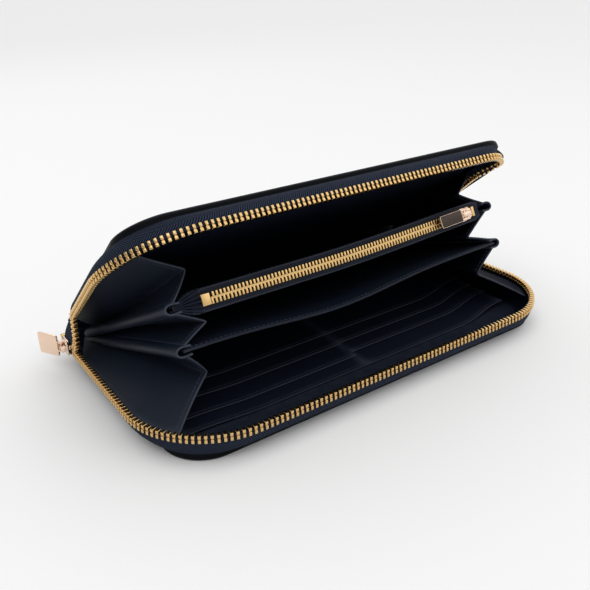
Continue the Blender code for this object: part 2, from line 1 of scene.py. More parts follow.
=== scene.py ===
"""The looks of a zip around wallet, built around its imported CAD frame.

Units are metres. Every layer is drawn as it lies in the shut wallet, where Y falls from the spine to the
zip and Z rises from the lower cover, and is then turned open about the hinge line with its body.
"""

import math
from math import copysign, cos, exp, pi, radians, sin

import bmesh
import bpy
import numpy as np
from mathutils import Matrix, Vector

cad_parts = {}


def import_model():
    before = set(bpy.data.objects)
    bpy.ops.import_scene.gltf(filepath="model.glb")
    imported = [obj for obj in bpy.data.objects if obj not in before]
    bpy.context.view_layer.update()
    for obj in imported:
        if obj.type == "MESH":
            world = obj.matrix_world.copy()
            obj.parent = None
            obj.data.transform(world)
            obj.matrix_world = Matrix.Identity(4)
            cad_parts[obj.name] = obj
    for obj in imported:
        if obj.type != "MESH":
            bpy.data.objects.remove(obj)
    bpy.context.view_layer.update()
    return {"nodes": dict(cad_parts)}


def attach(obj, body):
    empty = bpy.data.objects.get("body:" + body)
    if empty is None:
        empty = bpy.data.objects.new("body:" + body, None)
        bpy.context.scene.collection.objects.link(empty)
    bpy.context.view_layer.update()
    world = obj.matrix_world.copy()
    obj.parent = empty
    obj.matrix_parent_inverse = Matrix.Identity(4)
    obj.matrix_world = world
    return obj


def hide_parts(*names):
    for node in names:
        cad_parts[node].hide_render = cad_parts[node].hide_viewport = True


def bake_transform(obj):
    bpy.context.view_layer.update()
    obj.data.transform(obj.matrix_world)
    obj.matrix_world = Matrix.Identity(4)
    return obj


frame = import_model()

MM = 0.001

# ---- the frame's own dimensions ----
HINGE = Vector((0.0, 51.3 * MM, 11.3 * MM))
THICKNESS = 22.6 * MM
HALF_WIDTH = 95.0 * MM
BACK_Y = 49.2 * MM
FRONT_Y = -49.2 * MM
COVER_CORNER = 17.5 * MM
OPEN = {
    "lower_cover": 0.0,
    "plain_divider": radians(19.2),
    "coin_pocket": radians(25.85),
    "upper_cover": radians(38.7),
}

# The rows of teeth, in plan.
ROW_HALF_WIDTH = 102.1 * MM
ROW_FRONT_Y = -54.5 * MM
ROW_CORNER = 34.9 * MM
ROW_BACK_Y = 37.7 * MM
TAPE_BACK_Y = 50.6 * MM
TOOTH_PITCH = 2.17 * MM
LOWER_TOOTH_FOOT = 9.6 * MM
UPPER_TOOTH_FOOT = 14.3 * MM
BEAD_RISE = 0.9 * MM
BEAD_RADIUS = 0.62 * MM

# The main slider's middle, and how far its pull tab is turned on its bridge.
SLIDER_MIDDLE = Vector((-ROW_HALF_WIDTH, 42.8 * MM, 11.9 * MM))
TAB_OPEN = radians(120)

# The upper row bends down into the slider between these two places on the left side.
BEND_START = 20.0 * MM
BEND_END = 38.5 * MM

# A divider's half width at its front, how much wider it is at the spine, where the gussets hold it, and
# how far the coin pocket's front is from the hinge.
DIVIDER_HALF_WIDTH = 82.0 * MM
SPINE_FLARE = 9.5 * MM
POCKET_FRONT = 82.0 * MM


# ---- materials ----
class Shading:
    """A Principled material with short helpers for its nodes."""

    def __init__(self, name, colour, roughness, metallic=0.0):
        self.made = bpy.data.materials.new(name)
        self.made.use_nodes = True
        self.tree = self.made.node_tree
        self.shader = self.tree.nodes["Principled BSDF"]
        self.set("Base Color", (*colour, 1.0))
        self.set("Roughness", roughness)
        self.set("Metallic", metallic)
        self.coordinates = self.node("ShaderNodeTexCoord")

    def node(self, kind, **settings):
        made = self.tree.nodes.new(kind)
        for key, value in settings.items():
            setattr(made, key, value)
        return made

    def set(self, socket, value):
        self.shader.inputs[socket].default_value = value

    def link(self, source, target):
        self.tree.links.new(source, target)

    def feed(self, socket, source):
        self.link(source, self.shader.inputs[socket])

    def math(self, operation, first, second=None):
        made = self.node("ShaderNodeMath", operation=operation)
        for socket, value in zip(made.inputs, (first, second)):
            if value is None:
                continue
            if isinstance(value, (int, float)):
                socket.default_value = value
            else:
                self.link(value, socket)
        return made.outputs[0]

    def noise(self, scale, detail=4.0, stretch=None):
        made = self.node("ShaderNodeTexNoise")
        made.inputs["Scale"].default_value = scale
        made.inputs["Detail"].default_value = detail
        source = self.coordinates.outputs["Object"]
        if stretch:
            mapping = self.node("ShaderNodeMapping")
            mapping.inputs["Scale"].default_value = stretch
            self.link(source, mapping.inputs["Vector"])
            source = mapping.outputs["Vector"]
        self.link(source, made.inputs["Vector"])
        return made.outputs["Fac"]

    def cells(self, scale):
        made = self.node("ShaderNodeTexVoronoi", feature="DISTANCE_TO_EDGE")
        made.inputs["Scale"].default_value = scale
        self.link(self.coordinates.outputs["Object"], made.inputs["Vector"])
        return made.outputs["Distance"]

    def spread(self, factor, low, high, start=0.3, end=0.7):
        """Maps a 0 to 1 pattern onto a range of values."""
        made = self.node("ShaderNodeMapRange")
        self.link(factor, made.inputs["Value"])
        for socket, value in (("From Min", start), ("From Max", end), ("To Min", low), ("To Max", high)):
            made.inputs[socket].default_value = value
        return made.outputs["Result"]

    def ramp(self, factor, *stops):
        made = self.node("ShaderNodeValToRGB")
        band = made.color_ramp
        band.elements[0].position, band.elements[1].position = stops[0][0], stops[-1][0]
        band.elements[0].color = (*stops[0][1], 1.0)
        band.elements[1].color = (*stops[-1][1], 1.0)
        for position, colour in stops[1:-1]:
            band.elements.new(position).color = (*colour, 1.0)
        self.link(factor, made.inputs["Fac"])
        return made.outputs["Color"]

    def bump(self, height, depth, under=None):
        made = self.node("ShaderNodeBump")
        made.inputs["Strength"].default_value = 1.0
        made.inputs["Distance"].default_value = depth
        self.link(height, made.inputs["Height"])
        if under is not None:
            self.link(under, made.inputs["Normal"])
        self.feed("Normal", made.outputs["Normal"])
        return made.outputs["Normal"]

    def worn(self, base, edge, start=0.52, end=0.60):
        """Colours convex edges, where handling rubs them, with the edge colour."""
        geometry = self.node("ShaderNodeNewGeometry")
        rubbed = self.spread(geometry.outputs["Pointiness"], 0.0, 1.0, start, end)
        patchy = self.math("MULTIPLY", rubbed, self.spread(self.noise(260.0), 0.55, 1.0))
        self.feed("Base Color", self.ramp(patchy, (0.0, base), (1.0, edge)))

    def waves(self, place, pitch):
        return self.math("SINE", self.math("MULTIPLY", place, 2 * pi / pitch))


def leather(name, colour, edge, roughness, grain=1500.0, depth=0.03 * MM, shine=0.16):
    """Fine grained leather with soft blotches, pores and rubbed edges."""
    made = Shading(name, colour, roughness)
    made.worn(colour, edge)
    made.feed("Roughness", made.spread(made.noise(45.0), roughness - 0.06, roughness + 0.08))
    wrinkles = made.bump(made.noise(160.0, 3.0), 0.10 * MM)
    pores = made.spread(made.cells(grain), 0.0, 1.0, start=0.0, end=0.25)
    made.bump(pores, depth, under=wrinkles)
    made.set("Specular IOR Level", shine)
    return made.made


def woven_tape(name, dark, light, column=2.6 * MM, rib_pitch=1.05 * MM, thread_pitch=0.36 * MM):
    """Herringbone: diagonal ribs that turn back at each column across the tape."""
    made = Shading(name, light, 0.75)
    split = made.node("ShaderNodeSeparateXYZ")
    made.link(made.coordinates.outputs["UV"], split.inputs[0])
    along, across = split.outputs["X"], split.outputs["Y"]
    ribs = made.waves(made.math("ADD", along, made.math("PINGPONG", across, column)), rib_pitch)
    woven = made.math("ADD", ribs, made.math("MULTIPLY", made.waves(across, thread_pitch), 0.25))
    lit = made.spread(woven, 0.0, 1.0, start=-1.1, end=1.1)
    made.feed("Base Color", made.ramp(lit, (0.1, dark), (0.9, light)))
    made.feed("Roughness", made.spread(made.noise(900.0), 0.66, 0.86))
    made.bump(woven, 0.14 * MM)
    made.set("Specular IOR Level", 0.08)
    return made.made


def metal(name, colour, shade, roughness, brushing=None, start=0.44, end=0.52):
    """Polished metal with faint brushing; its hollows take the shade colour as painted shade."""
    made = Shading(name, colour, roughness, metallic=1.0)
    geometry = made.node("ShaderNodeNewGeometry")
    # Low pointiness marks the hollows, which the ramp paints in the shade colour: painted shade.
    raised = made.spread(geometry.outputs["Pointiness"], 0.0, 1.0, start, end)
    made.feed("Base Color", made.ramp(raised, (0.0, shade), (1.0, colour)))
    marks = made.noise(1200.0, 2.0, brushing)
    made.feed("Roughness", made.spread(marks, roughness - 0.04, roughness + 0.08))
    made.bump(marks, 0.004 * MM)
    return made.made


def fibrous(name, colour, shade, scale, detail, roughness, depth):
    """Thread or board: fine fibres whose hollows are darkened to a share of the colour."""
    low, middle, high = roughness
    made = Shading(name, colour, middle)
    fibres = made.noise(scale, detail)
    made.feed("Base Color", made.ramp(fibres, (0.3, tuple(c * shade for c in colour)), (0.7, colour)))
    made.feed("Roughness", made.spread(fibres, low, high))
    made.bump(fibres, depth)
    return made.made


def studio_paper(name, colour):
    made = Shading(name, colour, 0.9)
    made.feed("Roughness", made.spread(made.noise(400.0, 3.0), 0.88, 0.95))
    made.set("Specular IOR Level", 0.1)
    return made.made


SMOOTH_HIDE = {"grain": 1900.0, "depth": 0.016 * MM}
PAINTED_EDGE = {"grain": 700.0, "depth": 0.02 * MM}
BRUSHED_ACROSS = (0.15, 1.0, 1.0)

COVER = leather("cover_leather", (0.0045, 0.0058, 0.0100), (0.020, 0.023, 0.033), 0.44)
INNER = leather(
    "inner_leather", (0.0042, 0.0064, 0.0135), (0.024, 0.030, 0.048), 0.52, shine=0.12, **SMOOTH_HIDE
)
# This leather lines the covers and spine, and also stands as painted shade on the right-hand gusset folds.
LINING_AND_FOLD_SHADE = leather(
    "lining_leather_and_painted_fold_shade", (0.0038, 0.0056, 0.0118), (0.020, 0.025, 0.040), 0.72, shine=0.03, **SMOOTH_HIDE
)
GUSSET = leather(
    "gusset_leather", (0.0085, 0.0135, 0.0250), (0.036, 0.046, 0.072), 0.50, grain=1900.0, depth=0.018 * MM
)
PAINT = leather(
    "edge_paint", (0.0022, 0.0026, 0.0040), (0.011, 0.012, 0.016), 0.46, shine=0.06, **PAINTED_EDGE
)
RAW_EDGE = leather("gusset_edge_paint", (0.024, 0.029, 0.042), (0.055, 0.063, 0.088), 0.45, **PAINTED_EDGE)
SLOT_EDGE = leather(
    "slot_edge", (0.0105, 0.0140, 0.0240), (0.030, 0.036, 0.054), 0.45, grain=1200.0, depth=0.02 * MM
)
TAPE = woven_tape("woven_zip_tape", (0.0010, 0.0015, 0.0035), (0.036, 0.050, 0.088))
# Each metal's second colour is painted shade, laid into its hollows.
BRASS = metal("brass_teeth", (0.70, 0.47, 0.20), (0.08, 0.04, 0.012), 0.17, start=0.46, end=0.54)
ROSE = metal("rose_gold", (0.84, 0.63, 0.48), (0.42, 0.26, 0.17), 0.18, BRUSHED_ACROSS)
# The coin tab's broad faces are coloured nearly black as a painted reflection of the dark wallet they mirror.
PAINTED_REFLECTION_ROSE = metal("coin_tab_painted_dark_reflection", (0.060, 0.047, 0.040), (0.030, 0.024, 0.020), 0.16, BRUSHED_ACROSS)
THREAD = fibrous(
    "navy_thread",
    (0.026, 0.031, 0.047),
    shade=0.6,
    scale=5000.0,
    detail=2.0,
    roughness=(0.5, 0.6, 0.75),
    depth=0.03 * MM,
)
BOARD = fibrous(
    "stiffener_board",
    (0.35, 0.30, 0.22),
    shade=0.75,
    scale=700.0,
    detail=6.0,
    roughness=(0.8, 0.85, 0.95),
    depth=0.05 * MM,
)


# ---- mesh building ----
class Shape:
    """Points, faces, each face's material number and each point's UV, gathered into one piece."""

    def __init__(self):
        self.points, self.faces, self.slots, self.uvs = [], [], [], []

    def add(self, points, faces, slot=0, uvs=None):
        base = len(self.points)
        slots = slot if isinstance(slot, list) else [slot] * len(faces)
        self.points += [tuple(p) for p in points]
        self.faces += [[base + i for i in face] for face in faces]
        self.slots += slots
        self.uvs += list(uvs) if uvs is not None else [(0.0, 0.0)] * len(points)

    def stamp(self, template, matrix, slot=0):
        points, faces = template
        self.add([matrix @ Vector(p) for p in points], faces, slot)

    def finish(self, name, materials, body=None, drawn_open=False):
        """The piece, riding on its body and turned open with it unless it was drawn open."""
        mesh = bpy.data.meshes.new(name)
        mesh.from_pydata(self.points, [], self.faces)
        for entry in materials:
            mesh.materials.append(entry)
        mesh.polygons.foreach_set("material_index", self.slots)
        mesh.polygons.foreach_set("use_smooth", [True] * len(self.faces))
        layer = mesh.uv_layers.new(name="UVMap")
        for loop in mesh.loops:
            layer.data[loop.index].uv = self.uvs[loop.vertex_index]
        work = bmesh.new()
        work.from_mesh(mesh)
        bmesh.ops.recalc_face_normals(work, faces=work.faces)
        work.to_mesh(mesh)
        work.free()
        mesh.set_sharp_from_angle(angle=radians(50))
        made = bpy.data.objects.new(name, mesh)
        bpy.context.collection.objects.link(made)
        if body and not drawn_open:
            mesh.transform(opening(OPEN[body]))
        if body:
            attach(made, body)
        return made


def add_piece(shape, name, materials, body, node, drawn_open=False):
    """A piece that rides on one body and stands for one CAD node."""
    made = shape.finish(name, materials, body, drawn_open)
    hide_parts(node)


def opening(angle):
    """Turns the shut wallet's coordinates open about the hinge line."""
    return Matrix.Translation(HINGE) @ Matrix.Rotation(-angle, 4, "X") @ Matrix.Translation(-HINGE)


def opened(point, body):
    return opening(OPEN[body]) @ Vector(point)


def polar(x, radius, degrees):
    """An open place from its distance and angle at the hinge line."""
    a = radians(degrees)
    return Vector((x, HINGE.y - radius * cos(a), HINGE.z + radius * sin(a)))


def smooth(t):
    t = min(1.0, max(0.0, t))
    return t * t * (3 - 2 * t)


def spread(low, high, count):
    return [low + (high - low) * i / count for i in range(count + 1)]


def grid(across, along, point):
    """Rows of points: one row for each value across, one point in it for each value along."""
    return [[point(a, b) for b in along] for a in across]


def unit(array):
    return array / np.maximum(np.linalg.norm(array, axis=-1, keepdims=True), 1e-12)


def as_array(points):
    return np.array([tuple(p) for p in points])


def run_lengths(path):
    """How far along the path each of its points lies."""
    steps = np.linalg.norm(np.diff(path, axis=0), axis=1)
    return np.concatenate([[0.0], np.cumsum(steps)])


def ring_faces(rings, size, closed=True):
    faces = []
    for r in range(rings - 1):
        for i in range(size if closed else size - 1):
            j = (i + 1) % size
            faces.append([r * size + i, r * size + j, (r + 1) * size + j, (r + 1) * size + i])
    return faces


def loft(shape, rings, slot=0):
    """A closed body through rings of points, capped at both ends."""
    array = np.array([[tuple(p) for p in ring] for ring in rings])
    count, size = array.shape[:2]
    faces = ring_faces(count, size)
    along = np.linalg.norm(np.diff(array, axis=0), axis=2).max(axis=1)
    along = np.concatenate([[0.0], np.cumsum(along)])
    across = np.linalg.norm(np.diff(array, axis=1), axis=2).mean(axis=0)
    across = np.concatenate([[0.0], np.cumsum(across)])
    uvs = [(along[r], across[i]) for r in range(count) for i in range(size)]
    caps = []
    half = size // 2
    for r in (0, count - 1):
        for k in range(half - 1):
            caps.append([r * size + k, r * size + k + 1, (r + 1) * size - 2 - k, (r + 1) * size - 1 - k])
    shape.add(array.reshape(-1, 3), faces + caps, slot, uvs)


NOSE_TURNS = [radians(a) for a in (45, 90, 135)]


def sheet(shape, rows, thickness, slot=0, edge_slot=0, round_back=False):
    """A leather sheet from a grid of middle points. Each row ends in a rounded edge in edge_slot."""
    middle = np.array([[tuple(p) for p in row] for row in rows])
    rise = unit(np.gradient(middle, axis=0))
    run = unit(np.gradient(middle, axis=1))
    normal = unit(np.cross(rise, run)) * thickness / 2
    upper, lower = middle + normal, middle - normal

    def nose(column, sign):
        reach = run[:, column] * sign * thickness / 2
        side = normal[:, column] * sign
        return [middle[:, column] + side * cos(a) + reach * sin(a) for a in NOSE_TURNS]

    last = middle.shape[1] - 1
    columns = [upper[:, j] for j in range(last + 1)] + nose(-1, 1)
    columns += [lower[:, j] for j in range(last, -1, -1)] + (nose(0, -1) if round_back else [])
    rings = np.stack(columns, axis=1)
    count, size = rings.shape[:2]
    edge = [edge_slot] * (len(NOSE_TURNS) + 1)
    sides = [slot] * last + edge + [slot] * last + (edge if round_back else [slot])
    caps = []
    for start in (0, (count - 1) * size):
        end = start + 2 * last + len(edge)
        caps += [[start + k, start + k + 1, end - 1 - k, end - k] for k in range(last)]
        caps.append([start + last + k for k in range(len(edge) + 1)])
        if round_back:
            caps.append([end + k for k in range(len(edge))] + [start])
    faces = ring_faces(count, size) + caps
    shape.add(rings.reshape(-1, 3), faces, sides * (count - 1) + [edge_slot] * len(caps))


def tube(shape, path, radius, slot=0, sides=8, flatten=1.0, up=(0, 0, 1)):
    """A round cord along a path, tapered at both ends."""
    path = as_array(path)
    along = unit(np.gradient(path, axis=0))
    side = unit(np.cross(along, np.array(up, float)))
    top = np.cross(side, along)
    round_it = [(cos(a), sin(a) * flatten) for a in spread(0.0, 2 * pi, sides)[:-1]]
    rings = []
    for k, centre in enumerate(path):
        size = radius * (0.55 if k in (0, len(path) - 1) else 1.0)
        rings.append([centre + size * (side[k] * wide + top[k] * high) for wide, high in round_it])
    loft(shape, rings, slot)


def resampled(path, step):
    """Evenly spaced points along a path, with the direction at each."""
    path = as_array(path)
    lengths = run_lengths(path)
    count = max(2, round(lengths[-1] / step))
    places = np.linspace(0.0, lengths[-1], count + 1)
    points = np.stack([np.interp(places, lengths, path[:, k]) for k in range(3)], axis=1)
    return points, unit(np.gradient(points, axis=0))


def stitches(shape, path, normal, slot, step=2.0 * MM, thick=0.16 * MM):
    """A line of sewn stitches that lie half sunk on a surface, their ends pulled in."""
    points, along = resampled(path, step)
    lift = np.array(normal) * thick * 0.5
    sunk = -lift * 0.6
    for point, direction in zip(points[:-1], along[:-1]):
        shares, heights = (0.16, 0.296, 0.704, 0.84), (sunk, lift, lift, sunk)
        centres = [point + direction * step * share + height for share, height in zip(shares, heights)]
        tube(shape, centres, thick, slot, 5, up=normal)


def taken(work):
    """A bmesh's points and faces. The bmesh is freed."""
    work.verts.index_update()
    found = [tuple(v.co) for v in work.verts], [[v.index for v in f.verts] for f in work.faces]
    work.free()
    return found


def round_edges(work, edges, bevel, segments):
    bmesh.ops.bevel(work, geom=edges, offset=bevel, segments=segments, affect="EDGES", profile=0.5)


def rounded_block(size, bevel, segments=2):
    """Points and faces of a block with rounded edges, centred on the origin."""
    work = bmesh.new()
    bmesh.ops.create_cube(work, size=1.0)
    bmesh.ops.scale(work, vec=Vector(size), verts=work.verts)
    round_edges(work, work.edges[:], bevel, segments)
    return taken(work)


def rounded_plate(outline, thickness, bevel, segments=2):
    """Points and faces of a plate with a given plan and rounded rims, lying on Z = 0."""
    work = bmesh.new()
    face = work.faces.new([work.verts.new((x, y, 0.0)) for x, y in outline])
    grown = bmesh.ops.extrude_face_region(work, geom=[face])
    lifted = [g for g in grown["geom"] if isinstance(g, bmesh.types.BMVert)]
    bmesh.ops.translate(work, verts=lifted, vec=(0, 0, thickness))
    rims = [e for e in work.edges if abs(e.verts[0].co.z - e.verts[1].co.z) < thickness / 2]
    round_edges(work, rims, bevel, segments)
    return taken(work)


def round_rectangle(length, width, corner, steps=5):
    points = []
    for side_x, side_y, start in ((1, 1, 0), (-1, 1, 90), (-1, -1, 180), (1, -1, 270)):
        centre_x, centre_y = side_x * (length / 2 - corner), side_y * (width / 2 - corner)
        for i in range(steps + 1):
            a = radians(start + 90 * i / steps)
            points.append((centre_x + corner * cos(a), centre_y + corner * sin(a)))
    return points


def axes(origin, along, across, out):
    """A matrix that puts a template's X, Y and Z on three axes."""
    made = Matrix.Identity(4)
    for k, axis in enumerate((along, across, out)):
        made.col[k][:3] = Vector(axis).normalized()
    made.col[3][:3] = Vector(origin)
    return made


# ---- paths round the wallet ----
CORNER_STEPS = 24
FRONT_STEPS = 24
TAPE_SIDE_STEPS = 48


def u_path(half_width, front, corner, back, sides):
    """From the back left, round both front corners, to the back right."""
    centre_x, centre_y = half_width - corner, front + corner
    left = [(-half_width, back + (centre_y - back) * i / sides) for i in range(sides)]
    for a in spread(0.0, pi / 2, CORNER_STEPS):
        left.append((-centre_x - corner * cos(a), centre_y - corner * sin(a)))
    middle = [(x, front) for x in spread(-centre_x, centre_x, FRONT_STEPS)[1:-1]]
    return left + middle + [(-x, y) for x, y in reversed(left)]


def cover_path(inset, back=BACK_Y, sides=10):
    corner = max(COVER_CORNER - inset, 2 * MM)
    return u_path(HALF_WIDTH - inset, FRONT_Y + inset, corner, back, sides)


def row_path(inset=0.0, sides=10, back=ROW_BACK_Y):
    return u_path(ROW_HALF_WIDTH - inset, ROW_FRONT_Y + inset, ROW_CORNER - inset, back, sides)


def swept(profile):
    """Rings across a U: profile is a list of (plan path, height)."""
    count = len(profile[0][0])
    return [[(path[i][0], path[i][1], z) for path, z in profile] for i in range(count)]


# ---- covers ----
# The cover's edge in millimetres, from the outer face round to the inner one: inset and height.
EDGE_PROFILE = (
    (1.30, 0.00),
    (0.80, 0.04),
    (0.38, 0.18),
    (0.10, 0.46),
    (0.00, 0.85),
    (0.00, 1.55),
    (0.03, 1.78),
    (0.22, 1.88),
    (0.03, 1.98),
    (0.00, 2.20),
    (0.10, 2.58),
    (0.40, 2.82),
    (0.80, 2.90),
    (1.20, 2.82),
    (1.40, 2.55),
    (1.40, 1.20),
)
PAINTED = range(4, 13)

# The outer face's creased line near its edge, in the same millimetres: inset and height.
CREASE = ((3.1, 0.0), (2.85, 0.14), (2.6, 0.0))


def cover(prefix, body, height):
    """The cover's shell: outer face with a creased line near its edge, painted edge and turned lip."""
    profile = CREASE + EDGE_PROFILE
    shape = Shape()
    rings = swept([(cover_path(inset * MM), height(h * MM)) for inset, h in profile])
    count, size = len(rings), len(profile)
    slots = [1 if k - len(CREASE) in PAINTED else 0 for k in range(size - 1)] * (count - 1)
    outer_face = [r * size for r in range(count)]
    inner_face = [r * size + size - 1 for r in range(count)]
    back = list(range(size)) + [(count - 1) * size + k for k in range(size - 1, -1, -1)]
    faces = ring_faces(count, size, closed=False) + [outer_face, inner_face, back]
    shape.add([p for ring in rings for p in ring], faces, slots + [0, 0, 0])
    add_piece(shape, f"{prefix}_cover_shell", [COVER, PAINT], body, f"{prefix}_cover_leather")


def cover_height(body):
    """Heights above the outer face as shut heights: the upper cover hangs upside down."""
    return (lambda h: h) if body == "lower_cover" else (lambda h: THICKNESS - h)


def row_foot(body):
    """The foot of a row's teeth above its cover's outer face."""
    return LOWER_TOOTH_FOOT if body == "lower_cover" else THICKNESS - UPPER_TOOTH_FOOT


LINING_TOP = 3.45 * MM
LINING_UNDERSIDE = 2.95 * MM
LINING_THICKNESS = 0.55 * MM


def inner_lining(prefix, body):
    """The lining: flat over the board, then up inside the tape to just short of the teeth."""
    height = cover_height(body)
    climb = row_foot(body) - LINING_THICKNESS - LINING_TOP
    near, far = cover_path(2.6 * MM), row_path(1.25 * MM)
    profile = [(cover_path(inset * MM), LINING_TOP) for inset in (8, 4)]
    for t in spread(0.0, 1.0, 7):
        along = 0.5 * t + 0.5 * sin(pi / 2 * t)
        rise = 0.35 * t + 0.65 * (1 - cos(pi / 2 * t))
        path = [(a[0] + (b[0] - a[0]) * along, a[1] + (b[1] - a[1]) * along) for a, b in zip(near, far)]
        profile.append((path, LINING_TOP + climb * rise))
    underside = [(path, max(z - LINING_THICKNESS, LINING_UNDERSIDE)) for path, z in reversed(profile)]
    shape = Shape()
    loft(shape, swept([(path, height(z)) for path, z in profile + underside]))
    plate = cover_path(7.9 * MM)
    n = len(plate)
    points = [(x, y, height(z)) for z in (LINING_TOP, LINING_UNDERSIDE) for x, y in plate]
    sides = [[i, i + 1, n + i + 1, n + i] for i in range(n - 1)] + [[0, n - 1, 2 * n - 1, n]]
    shape.add(points, [list(range(n)), list(range(n, 2 * n))] + sides)
    add_piece(shape, f"{prefix}_lining", [LINING_AND_FOLD_SHADE], body, f"{prefix}_cover_lining")


# ---- main zip ----
# Near the spine both rows turn in by this much. The upper row also turns in past PULL_START: by a share
# of its reach at the front and by more at the corner, which fades towards the spine.
ROW_END_Y = 46.5 * MM
ROW_END_INSET = 4.0 * MM
PULL_START = 60 * MM
FRONT_PULL = 0.17
CORNER_PULL = 0.30
TAPE_THICKNESS = 0.30 * MM
TAPE_LIP = 2.7 * MM
TAPE_BLEND_RADIUS = 19 * MM


def drawn_in(body, x, y):
    """Where a place on the row really lies: both rows turn in at their ends, the upper at its right front."""
    x -= copysign(ROW_END_INSET, x) * smooth((y - ROW_END_Y) / (2.5 * MM))
    if body != "upper_cover" or x < PULL_START:
        return x, y
    corner, fade = smooth((y + 44 * MM) / (13 * MM)), smooth((y + 30 * MM) / (62 * MM))
    pull = FRONT_PULL + CORNER_PULL * corner - (FRONT_PULL + CORNER_PULL) * fade
    return PULL_START + (x - PULL_START) * (1 - pull), y


def bend(body, x, y):
    """0 where a row lies open with its cover, 1 where the upper row has come down to the slider."""
    if body != "upper_cover" or x > 0:
        return 0.0
    return smooth((y - BEND_START) / (BEND_END - BEND_START))


def tape_profile(foot, steps=14):
    """Plan share and height of the tape's middle line, from the cover's lip to the teeth."""
    places = []
    for t in spread(0.0, 1.0, steps):
        along = sin(pi / 2 * t) + 0.10 * sin(pi * t)
        rise = 0.15 * t + 0.85 * (1 - cos(pi / 2 * t))
        places.append((along, TAPE_LIP + (foot - TAPE_LIP) * rise))
    return places


def tape_face(foot, side):
    """One face of the tape: plan share, height and path of each line along it. It thins to the teeth."""
    path = row_path(-side * TAPE_THICKNESS, TAPE_SIDE_STEPS, TAPE_BACK_Y)
    return [(share, z - side * TAPE_THICKNESS * (1 - share), path) for share, z in tape_profile(foot)]


def zip_tape(prefix, body):
    """The woven tape. Beside the slider the upper one turns down with its row."""
    height, foot = cover_height(body), row_foot(body)
    profile = tape_face(foot + BEAD_RISE, 1) + tape_face(foot + BEAD_RISE, -1)[::-1]
    rings, bends = [], []
    for k, near in enumerate(cover_path(1.0 * MM, TAPE_BACK_Y, TAPE_SIDE_STEPS)):
        ring = []
        for share, z, row in profile:
            far = drawn_in(body, *row[k])
            down = bend(body, *far) * min(1.0, share) ** 1.3
            x, y = near[0] + (far[0] - near[0]) * share, near[1] + (far[1] - near[1]) * share
            ring.append(opening(OPEN[body] * (1 - down)) @ Vector((x, y, height(z))))
            bends.append(down)
        rings.append(ring)
    shape = Shape()
    loft(shape, rings)
    for pair, part in split_by_bend(shape, bends).items():
        finish_stretch(part, f"{prefix}_woven_tape", pair, body, f"{prefix}_zip_tape", [TAPE])
    up = 1 if body == "lower_cover" else -1
    line, normals, line_bends = open_row(body, height(foot), up)
    bead = [p + n * BEAD_RISE for p, n, down in zip(line, normals, line_bends) if down <= 0.0]
    strip = Shape()
    tube(strip, bead, BEAD_RADIUS, flatten=1.2)
    strip.finish(f"{prefix}_tape_bead", [TAPE], body, drawn_open=True)


def split_by_bend(shape, bends):
    """One shape for each stretch of the bend that its faces lie on."""
    parts = {}
    for face in shape.faces:
        down = sum(bends[i] for i in face) / len(face)
        part, known = parts.setdefault(stretch_of(down), (Shape(), {}))
        for i in face:
            if i not in known:
                known[i] = len(part.points)
                part.points.append(shape.points[i])
                part.uvs.append(shape.uvs[i])
        part.faces.append([known[i] for i in face])
        part.slots.append(0)
    return {pair: part for pair, (part, _) in parts.items()}


def finish_stretch(shape, name, pair, body, node, materials, foot=None):
    """The flat row's piece rides on its cover; a stretch of the bend is made as a fixed piece on no body."""
    if pair is None:
        add_piece(shape, name, materials, body, node, drawn_open=True)
        return
    made = shape.finish(f"{name}_to_{pair[0]}", materials)
    if foot:
        start, end = (bend_place(foot, held) for held in pair)
    else:
        start, end = (polar(0.0, TAPE_BLEND_RADIUS, math.degrees(OPEN[held])) for held in pair)
    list(pair)
    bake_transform(made)
    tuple(start)
    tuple(end)


def tooth():
    """One tooth: two legs clamp the tape's bead, a waist, and a head that meshes."""
    template = Shape()
    for size, bevel, segments, rise in (
        ((1.10, 2.50, 1.45), 0.16, 2, 0.72),
        ((0.80, 1.80, 0.90), 0.12, 1, 1.55),
        ((1.22, 2.15, 1.30), 0.20, 2, 2.35),
    ):
        block = rounded_block([v * MM for v in size], bevel * MM, segments)
        template.stamp(block, Matrix.Translation((0, 0, rise * MM)))
    return template.points, template.faces


def open_row(body, foot, up):
    """The open row's line, the cover's normal along it and how far each place has bent to the slider."""
    line, normals, bends = [], [], []
    for x, y in row_path(sides=40):
        share = bend(body, x, y)
        turn = opening(OPEN[body] * (1 - share))
        line.append(turn @ Vector((*drawn_in(body, x, y), foot)))
        normals.append(turn.to_3x3() @ Vector((0, 0, up)))
        bends.append(share)
    return as_array(line), as_array(normals), np.array(bends)


def row_places(body, foot, up, phase):
    """Evenly spaced places along the row: point, direction, the cover's normal and the bend."""
    line, normals, bends = open_row(body, foot, up)
    lengths = run_lengths(line)
    first = (lengths[-1] / 2 + phase) % TOOTH_PITCH
    places = np.arange(first, lengths[-1], TOOTH_PITCH)

    def at(values, shift=0.0):
        return np.stack([np.interp(places + shift, lengths, values[:, k]) for k in range(3)], axis=1)

    along = unit(at(line, 0.4 * MM) - at(line, -0.4 * MM))
    return zip(at(line), along, at(normals), np.interp(places, lengths, bends))


# Each stretch of a row: the two bodies whose opening angles lie at its ends.
BEND_STRETCHES = (
    ("coin_pocket", "upper_cover"),
    ("plain_divider", "coin_pocket"),
    ("lower_cover", "plain_divider"),
)


def bend_place(foot, body):
    """Where the bending row has come down to a body's own opening angle."""
    wanted = 1 - OPEN[body] / OPEN["upper_cover"]
    low, high = BEND_START, BEND_END
    for _ in range(24):
        middle = (low + high) / 2
        if bend("upper_cover", -ROW_HALF_WIDTH, middle) < wanted:
            low = middle
        else:
            high = middle
    return opening(OPEN[body]) @ Vector((-ROW_HALF_WIDTH, low, foot))


def stretch_of(share):
    """Which stretch of the bend a place belongs to. None is the flat row."""
    if share <= 0.0:
        return None
    angle = OPEN["upper_cover"] * (1 - share)
    return next(pair for pair in BEND_STRETCHES if angle >= OPEN[pair[0]])


